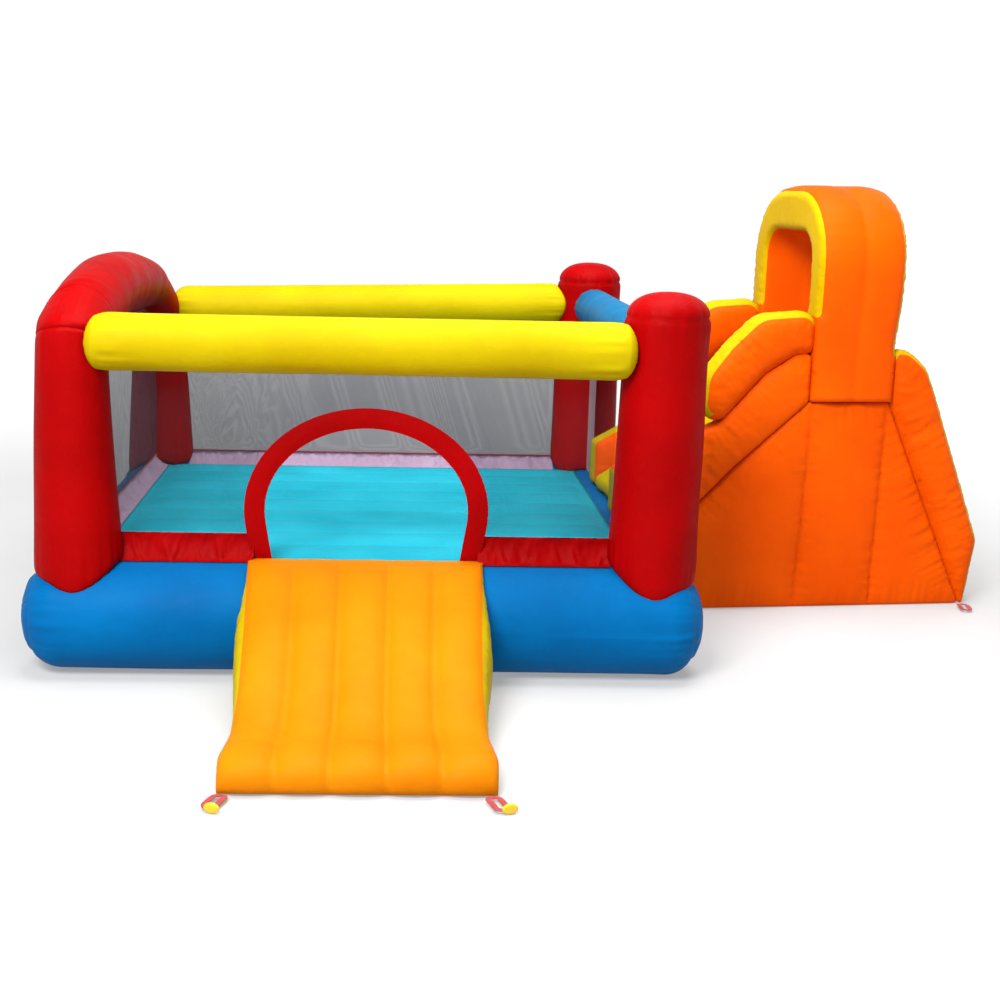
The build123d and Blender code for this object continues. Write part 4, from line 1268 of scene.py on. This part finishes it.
def slack_band(name, width, x0, x1, to_world, material, seed):
    """Strip of cloth held along its top and bottom edges, with more cloth than the gap needs.

    The cloth is grown between its fixed edges by simulation, so it buckles into diagonal folds.
    to_world(x, t, out) takes the place along the strip, the share of its width and how far it stands out.
    """
    step, grow, frames, furthest = 0.0085, 0.075, 24, 0.016
    columns = int((x1 - x0) / step)
    rows = max(6, int(width / step))
    xs, points = np.linspace(x0, x1, columns + 1), []
    for t in np.linspace(0, 1, rows + 1):
        arc = math.sin(math.pi * t)
        lean = 0.55 * (t - 0.5) * width
        out = arc * (0.0035 * creases(xs + lean, 0.040, seed)
                     + 0.0018 * wave_noise(xs - lean, 0.015, seed + 1))
        points.append(np.column_stack([xs, np.full(len(xs), t), out + 0.002 * arc]))
    points = np.vstack(points)
    world = to_world(points[:, 0], points[:, 1], points[:, 2])
    obj = new_mesh(name, world, quads(rows + 1, columns + 1, ring=False), [material])
    held = obj.vertex_groups.new(name="held")
    grid = np.arange(len(points)).reshape(rows + 1, columns + 1)
    fixed = np.concatenate([grid[0], grid[-1], grid[:, 0], grid[:, -1]])
    held.add([int(i) for i in fixed], 1.0, "REPLACE")
    modifier = obj.modifiers.new("Cloth", "CLOTH")
    settings = modifier.settings
    settings.quality = 5
    settings.mass = 0.15
    settings.tension_stiffness = settings.compression_stiffness = 25
    settings.shear_stiffness = 8
    settings.bending_stiffness = 0.12
    settings.shrink_min = -grow
    settings.vertex_group_mass = "held"
    settings.pin_stiffness = 1
    settings.effector_weights.gravity = 0
    modifier.collision_settings.use_self_collision = False
    scene = bpy.context.scene
    modifier.point_cache.frame_start, modifier.point_cache.frame_end = 1, frames
    for number in range(1, frames + 1):
        scene.frame_set(number)
    evaluated = obj.evaluated_get(bpy.context.evaluated_depsgraph_get())
    moved = np.array([v.co[:] for v in evaluated.data.vertices])
    shift = moved - world
    size = np.linalg.norm(shift, axis=1)
    shift *= np.minimum(1, furthest / np.maximum(size, 1e-9))[:, None]
    obj.modifiers.remove(modifier)
    obj.vertex_groups.remove(held)
    scene.frame_set(1)
    obj.data.vertices.foreach_set("co", off_tubes(world + shift).ravel())
    obj.data.update()
    return obj


def hem_line(y):
    """Top edge of the left hem, which climbs towards the front post."""
    return HEM_TOP + 0.030 * np.clip((0.95 - y) / 1.9, 0, 1)


def lap(t, out, reach, top):
    """Path of a band from the crest of a tube (t = 1 at its top edge) down onto the tube's flank.

    Gives how far it has moved off the wall's plane and its height. reach is the distance at its foot.
    """
    share = np.clip(t, 0, 1)
    off = reach * (1 - smooth(share / 0.75)) ** 0.8
    flank = TUBE_R + np.sqrt(np.maximum((TUBE_R + 0.004) ** 2 - off ** 2, 0))
    rise = smooth((share - 0.30) / 0.70) ** 0.9
    return off + np.maximum(out, -0.002), flank + (top - flank) * rise


def aprons():
    ring_foot = RING_FOOT + RING_BAND

    def front(x, t, out):
        off, z = lap(t, out, 0.045, APRON_TOP - 0.002)
        return np.column_stack([x, -POST_Y + 0.003 - off, z])

    def back_wall(x, t, out):
        off, z = lap(t, out, BACK_LAP, HEM_TOP - 0.001)
        return np.column_stack([x, BACK_Y - off, z])

    def left_wall(y, t, out):
        off, z = lap(t, out, LEFT_LAP, hem_line(y) - 0.001)
        return np.column_stack([LEFT_X + off, y, z])

    for side, arched in ((-1, True), (1, False)):
        label = "left" if side < 0 else "right"
        inner = ring_foot - 0.010
        outer = post_edge(0.5, arched, SEWN)
        x0, x1 = (-outer, -inner) if side < 0 else (inner, outer)
        obj = slack_band(f"front_apron_{label}", 0.118, x0, x1, front, RED_FLAT, 980 + side)
        place(obj, "red_cloth", "front_apron")
    post = -0.008
    back = slack_band("back_hem", 0.140, -post_edge(0.46, True, post), post_edge(0.46, False, post),
                      back_wall, HEM_CLOTH, 990)
    place(back, "hem_cloth", "hem_bands")
    edge = POST_Y - post_radius(0.46, True) - post
    left = slack_band("left_hem", 0.140, -edge, edge, left_wall, HEM_CLOTH, 995)
    place(left, "hem_cloth", "hem_bands")
    piping("back_piping", [(-post_edge(0.49, True, 0.004), POST_Y - 0.002, HEM_TOP),
                           (post_edge(0.49, False, 0.004), POST_Y - 0.002, HEM_TOP)])
    piping("left_piping", [(LEFT_X + 0.002, -edge, hem_line(-edge)), (LEFT_X + 0.002, edge, hem_line(edge))])


def mouth_panels():
    """Pale cloth either side of the slide's mouth, hung from the side rail."""
    foot, top = CREST + 0.008, RAIL_Z - 0.075
    zs = np.linspace(foot, top, 16)
    reach = lambda z: POST_Y - post_radius(z, False) - 0.003
    near = [(-reach(z), z) for z in zs] + [(-0.30, top), (-0.30, 0.66), (-0.28, foot)]
    far = [(0.66, foot), (0.68, 0.70), (0.68, top)] + [(reach(z), z) for z in zs[::-1]]

    def relief(flat, distance, along):
        return (0.006 * creases(flat[:, 0] + 0.15 * flat[:, 1], 0.07, 1000)
                + 0.004 * wave_noise(flat[:, 1], 0.2, 1001)) * smooth(distance / 0.04)

    for label, outline in (("near", near), ("far", far)):
        obj = sheet_mesh(f"mouth_panel_{label}", outline, 0.016,
                         lambda y, z, out: np.column_stack([RIGHT_X + out, y, z]), PALE_CLOTH, relief)
        place(obj, "hem_cloth", "mouth_panels")


def zip_cover():
    """Flap over the zip: out from its hinge line, then down."""
    low, high = box("zip_flap")
    xs = np.linspace(low[0] + 0.001, high[0] - 0.001, 51)
    out_y = high[1] - low[1]
    profile = [(0, 0), (out_y * 0.4, 0.0008), (out_y * 0.75, 0.0), (out_y * 0.93, -0.003),
               (out_y * 0.97, -0.010)]
    profile += [(out_y * 0.97, -z) for z in np.linspace(0.014, high[2] - low[2] - 0.003, 12)]
    points = []
    for j, (out, drop) in enumerate(profile):
        flare = 0.0016 * creases(xs, 0.035, 1010) * min(1, j / 8)
        y = low[1] + out + np.where(j > 3, -np.abs(flare) * 0.6, 0)
        points.append(np.column_stack([xs, y * np.ones_like(xs), np.full(len(xs), high[2] - 0.0015 + drop)]))
    obj = new_mesh("zip_cover", np.vstack(points), quads(len(profile), len(xs), ring=False), [BLUE_CLOTH])
    place(obj, "blue_cloth", "zip_flap", body="zip_flap")


def air_duct():
    """Cloth sleeve from the back tube to the blower, gathered where its strap is tied."""
    low, high = box("inflation_sleeve")
    x, z = (low[0] + high[0]) / 2, (low[2] + high[2]) / 2
    outer = (high[0] - low[0]) / 2
    start = BACK_Y + math.sqrt(TUBE_R ** 2 - (z - TUBE_R) ** 2) + 0.002
    stop = high[1] - 0.002
    tie = middle("sleeve_strap")[1]
    around = 80
    angle = np.linspace(0, math.tau, around, endpoint=False)
    folds = creases(angle * outer * 1.0, 0.018, 1020)
    stations = np.linspace(start, stop, 40)

    def ring(y, base, least):
        belly = 0.004 * math.sin(math.pi * np.clip((y - start) / (tie - start), 0, 1))
        reach = abs(y - tie)
        r = np.maximum(base - 0.004 + belly + 0.0035 * folds * math.exp(-reach / 0.03)
                       - 0.002 * math.exp(-(reach / 0.012) ** 2), least)
        return np.column_stack([x + np.cos(angle) * r, np.full(around, y), z + np.sin(angle) * r])

    rings = [ring(y, outer - 0.002, 0) for y in stations]
    rings += [ring(y, outer - 0.0045, 0.0495) for y in stations[::-1]]
    obj = new_mesh("air_duct", np.vstack(rings), quads(len(rings), around, closed=True), [DUCT_CLOTH])
    place(obj, "duct_cloth", "inflation_sleeve")


# ================================================================ webbing and pegs
LOOP_LENGTH, LOOP_WIDTH, WEB, WEB_THICK = 0.118, 0.058, 0.020, 0.0032


def loop_frame(name):
    """A webbing loop's fold line on the ground, the way it points, the way across and its mid height."""
    low, high = box(name)
    joint = next(j for j in frame["joints"] if j["name"] == f"{name}_lift")
    start = np.array(joint["pos_m"] if "pos_m" in joint else joint["pos"], float) * [1, 1, 0]
    centre = (low + high) / 2
    ahead = unit((centre - start) * [1, 1, 0])
    return start, ahead, np.array([-ahead[1], ahead[0], 0]), centre[2]


def loop(name):
    """Webbing loop: a flat strap folded round into a long slot."""
    start, ahead, side, z = loop_frame(name)
    mid, run_length = (LOOP_WIDTH - WEB) / 2, LOOP_LENGTH - LOOP_WIDTH
    path, normals = [], []
    for way, back in ((1, 0), (-1, 1)):
        for t in np.linspace(back, 1 - back, 10):
            path.append((LOOP_WIDTH / 2 + t * run_length, way * mid))
            normals.append((0, way))
        for a in np.radians(np.linspace(90, -90, 18)[1:-1]) - back * math.pi:
            normals.append((math.cos(a), math.sin(a)))
            path.append((LOOP_WIDTH / 2 + (1 - back) * run_length + mid * math.cos(a), mid * math.sin(a)))
    path, normals = np.array(path), np.array(normals)
    section = [(-0.5, -0.35), (-0.42, -0.5), (0.42, -0.5), (0.5, -0.35), (0.5, 0.35), (0.42, 0.5),
               (-0.42, 0.5), (-0.5, 0.35)]
    run = run_along(path)
    points = []
    for i in range(len(path)):
        arch = 0.0015 * math.sin(run[i] / run[-1] * math.tau * 2)
        for s, t in section:
            flat = path[i] + normals[i] * s * WEB
            points.append(start + ahead * flat[0] + side * flat[1]
                          + np.array([0, 0, z + t * WEB_THICK + arch]))
    faces = quads(len(path), len(section), closed=True)
    obj = new_mesh(f"{name}_webbing", points, faces, [WEB_RED])
    place(obj, "webbing_red", name, body=name)


def peg(side):
    """Ground peg with a domed oval head, lying under its loop."""
    name = f"ground_peg_{side}"
    start, ahead, across, _ = loop_frame(f"ramp_loop_{side}")
    offset, radius, around = (LOOP_WIDTH - WEB) / 2, 0.0045, 32
    angle = np.linspace(0, math.tau, around, endpoint=False)
    shaft = [(0.006, 0.0006), (0.010, 0.002), (0.018, radius * 0.95), (0.022, radius), (0.112, radius)]
    dome = [(0.1125, 0.4), (0.1130, 0.9), (0.1145, 0.985), (0.1180, 1.0), (0.1210, 0.985), (0.1232, 0.94),
            (0.1244, 0.86), (0.1250, 0.70), (0.1254, 0.45), (0.1256, 0.06)]
    rings = [(along, r, r, radius + 0.0005) for along, r in shaft]
    rings += [(along, 0.026 * share, 0.017 * share, 0.0175) for along, share in dome]
    points = [start + ahead * along + across * (offset + wide * math.cos(a))
              + np.array([0, 0, z + tall * math.sin(a)]) for along, wide, tall, z in rings for a in angle]
    faces = quads(len(rings), around)
    faces += [tuple(range(around)), tuple(range((len(rings) - 1) * around, len(rings) * around))]
    obj = new_mesh(f"{name}_pin", points, faces, [PEG_YELLOW])
    place(obj, "peg_yellow", name, body=name)


def strap_band():
    """Tie strap round the air duct, with a small moulded buckle."""
    sleeve_low, sleeve_high = box("inflation_sleeve")
    x, z = (sleeve_low[0] + sleeve_high[0]) / 2, (sleeve_low[2] + sleeve_high[2]) / 2
    y = middle("sleeve_strap")[1]
    outer = (sleeve_high[0] - sleeve_low[0]) / 2
    section = [(-0.0105, 0.0006), (-0.010, 0), (0.010, 0), (0.0105, 0.0006), (0.0105, 0.0022),
               (0.010, 0.0028), (-0.010, 0.0028), (-0.0105, 0.0022)]
    points, around = [], 72
    for i in range(around):
        a = math.tau * i / around
        for dy, dr in section:
            r = outer + 0.0006 + dr
            points.append((x + r * math.cos(a), y + dy, z + r * math.sin(a)))
    faces, start = quads(around, len(section), closed=True), len(points)
    top = z + outer + 0.0036
    levels = [(0.0, 0.80), (0.0012, 0.97), (0.0040, 1.0), (0.0050, 0.92), (0.0054, 0.7)]
    outline = rounded([(-0.012, -0.011), (0.012, -0.011), (0.012, 0.011), (-0.012, 0.011)], 0.003)
    for dz, share in levels:
        for px, py in outline:
            points.append((x + px * share, y + py * share, top + dz))
    size = len(outline)
    faces += quads(len(levels), size, start)
    faces.append(tuple(range(start, start + size))[::-1])
    faces.append(tuple(range(start + (len(levels) - 1) * size, start + len(levels) * size)))
    obj = new_mesh("duct_strap", points, faces, [WEB_RED])
    place(obj, "webbing_red", "sleeve_strap")


# ================================================================ build everything
base_cross_tube("base_tube_front_cloth", FRONT_Y, 100)
base_cross_tube("base_tube_back_cloth", BACK_Y, 130)
base_side_tube("base_tube_left_cloth", LEFT_X, 160)
base_side_tube("base_tube_right_cloth", RIGHT_X, 190)
bounce_floor()
pillar("pillar_front_left_cloth", -POST_X, -POST_Y, True, 210, foot_shift=(0.014, -0.026))
pillar("pillar_back_left_cloth", -POST_X, POST_Y, True, 230)
pillar("pillar_front_right_cloth", POST_X, -POST_Y, False, 250, lean=(0.018, 0), foot_shift=(-0.006, -0.026))
pillar("pillar_back_right_cloth", POST_X, POST_Y, False, 270)
side_arch()
rails()
slide_tower()
entry_ramp()
entrance_ring()
front_net()
back_and_left_nets()
aprons()
mouth_panels()
zip_cover()
air_duct()
strap_band()
for side in ("left", "right"):
    peg(side)
for name in ("ramp_loop_left", "ramp_loop_right", "tower_loop_near", "tower_loop_far", "back_loop_left",
             "back_loop_right"):
    loop(name)

for name, node in frame["nodes"].items():
    material = KEPT.get(name, RED_CLOTH)
    for place_in in node.material_slots:
        place_in.material = material
    if not node.material_slots:
        node.data.materials.append(material)


# ================================================================ floor, light and camera
def studio():
    """Pale floor and sky that fade to white, and three soft lights."""
    floor = Nodes("studio_floor")
    white = floor.mix(floor.spread(floor.noise(0.8, 3), 0.3, 0.7), (0.29, 0.29, 0.29, 1),
                      (0.32, 0.32, 0.32, 1))
    away = floor.add("ShaderNodeVectorMath", operation="LENGTH")
    floor.join(floor.place, away.inputs[0])
    glow = floor.spread(away.outputs["Value"], 3.0, 8.0, 0.30, 0.98)
    floor.join(glow, floor.shader.inputs["Emission Strength"])
    floor.finish(white, 0.9, Specular_IOR_Level=0.1, Emission_Color=(1, 1, 1, 1))
    xs = np.linspace(-14.0, 14.0, 24)
    points = [(x, y, -0.0005) for y in xs for x in xs]
    ground = new_mesh("studio_ground", points, quads(len(xs), len(xs), ring=False), [floor.material],
                      smooth_shade=False)

    world = bpy.data.worlds.new("studio_world")
    bpy.context.scene.world = world
    world.use_nodes = True
    tree = world.node_tree
    tree.nodes["Background"].inputs["Color"].default_value = (1, 1, 1, 1)
    split = tree.nodes.new("ShaderNodeSeparateXYZ")
    fade = tree.nodes.new("ShaderNodeMapRange")
    for key, number in (("From Min", 0.26), ("From Max", 0.60), ("To Min", 1.02), ("To Max", 0.30)):
        fade.inputs[key].default_value = number
    tree.links.new(tree.nodes.new("ShaderNodeTexCoord").outputs["Generated"], split.inputs[0])
    tree.links.new(split.outputs["Z"], fade.inputs["Value"])
    tree.links.new(fade.outputs[0], tree.nodes["Background"].inputs["Strength"])

    def area(name, place_at, target, size, energy):
        data = bpy.data.lights.new(name, "AREA")
        data.shape = "RECTANGLE"
        data.size, data.size_y = size
        data.energy = energy
        light = bpy.data.objects.new(name, data)
        bpy.context.scene.collection.objects.link(light)
        light.location = place_at
        light.rotation_euler = (Vector(target) - Vector(place_at)).to_track_quat("-Z", "Y").to_euler()

    area("key", (-2.2, -6.4, 5.8), (0.4, 0, 0.7), (3.0, 2.6), 960)
    area("top", (0.8, -0.6, 6.2), (0.6, 0, 0.4), (5.0, 4.0), 660)
    area("rim", (5.5, 3.5, 4.5), (0.6, 0, 0.8), (3.0, 3.0), 60)
    bpy.context.scene.view_settings.view_transform = "Standard"


def camera():
    """Camera at the photograph's viewing angle, found by fitting the photographed edges."""
    yaw, pitch, roll_angle = 0.0365, 0.2073, 0.0224
    forward = Vector((math.sin(yaw) * math.cos(pitch), math.cos(yaw) * math.cos(pitch), -math.sin(pitch)))
    right = Vector((math.cos(yaw), -math.sin(yaw), 0))
    up = right.cross(forward)
    r2 = math.cos(roll_angle) * right + math.sin(roll_angle) * up
    u2 = -math.sin(roll_angle) * right + math.cos(roll_angle) * up
    data = bpy.data.cameras.new("camera")
    data.sensor_width = 36
    data.lens = 53.774
    data.shift_x = 0.06
    data.clip_end = 60
    obj = bpy.data.objects.new("camera", data)
    bpy.context.scene.collection.objects.link(obj)
    obj.matrix_world = Matrix(((r2.x, u2.x, -forward.x, 0.0784), (r2.y, u2.y, -forward.y, -6.8439),
                               (r2.z, u2.z, -forward.z, 1.9003), (0, 0, 0, 1)))
    bpy.context.scene.camera = obj


studio()
camera()
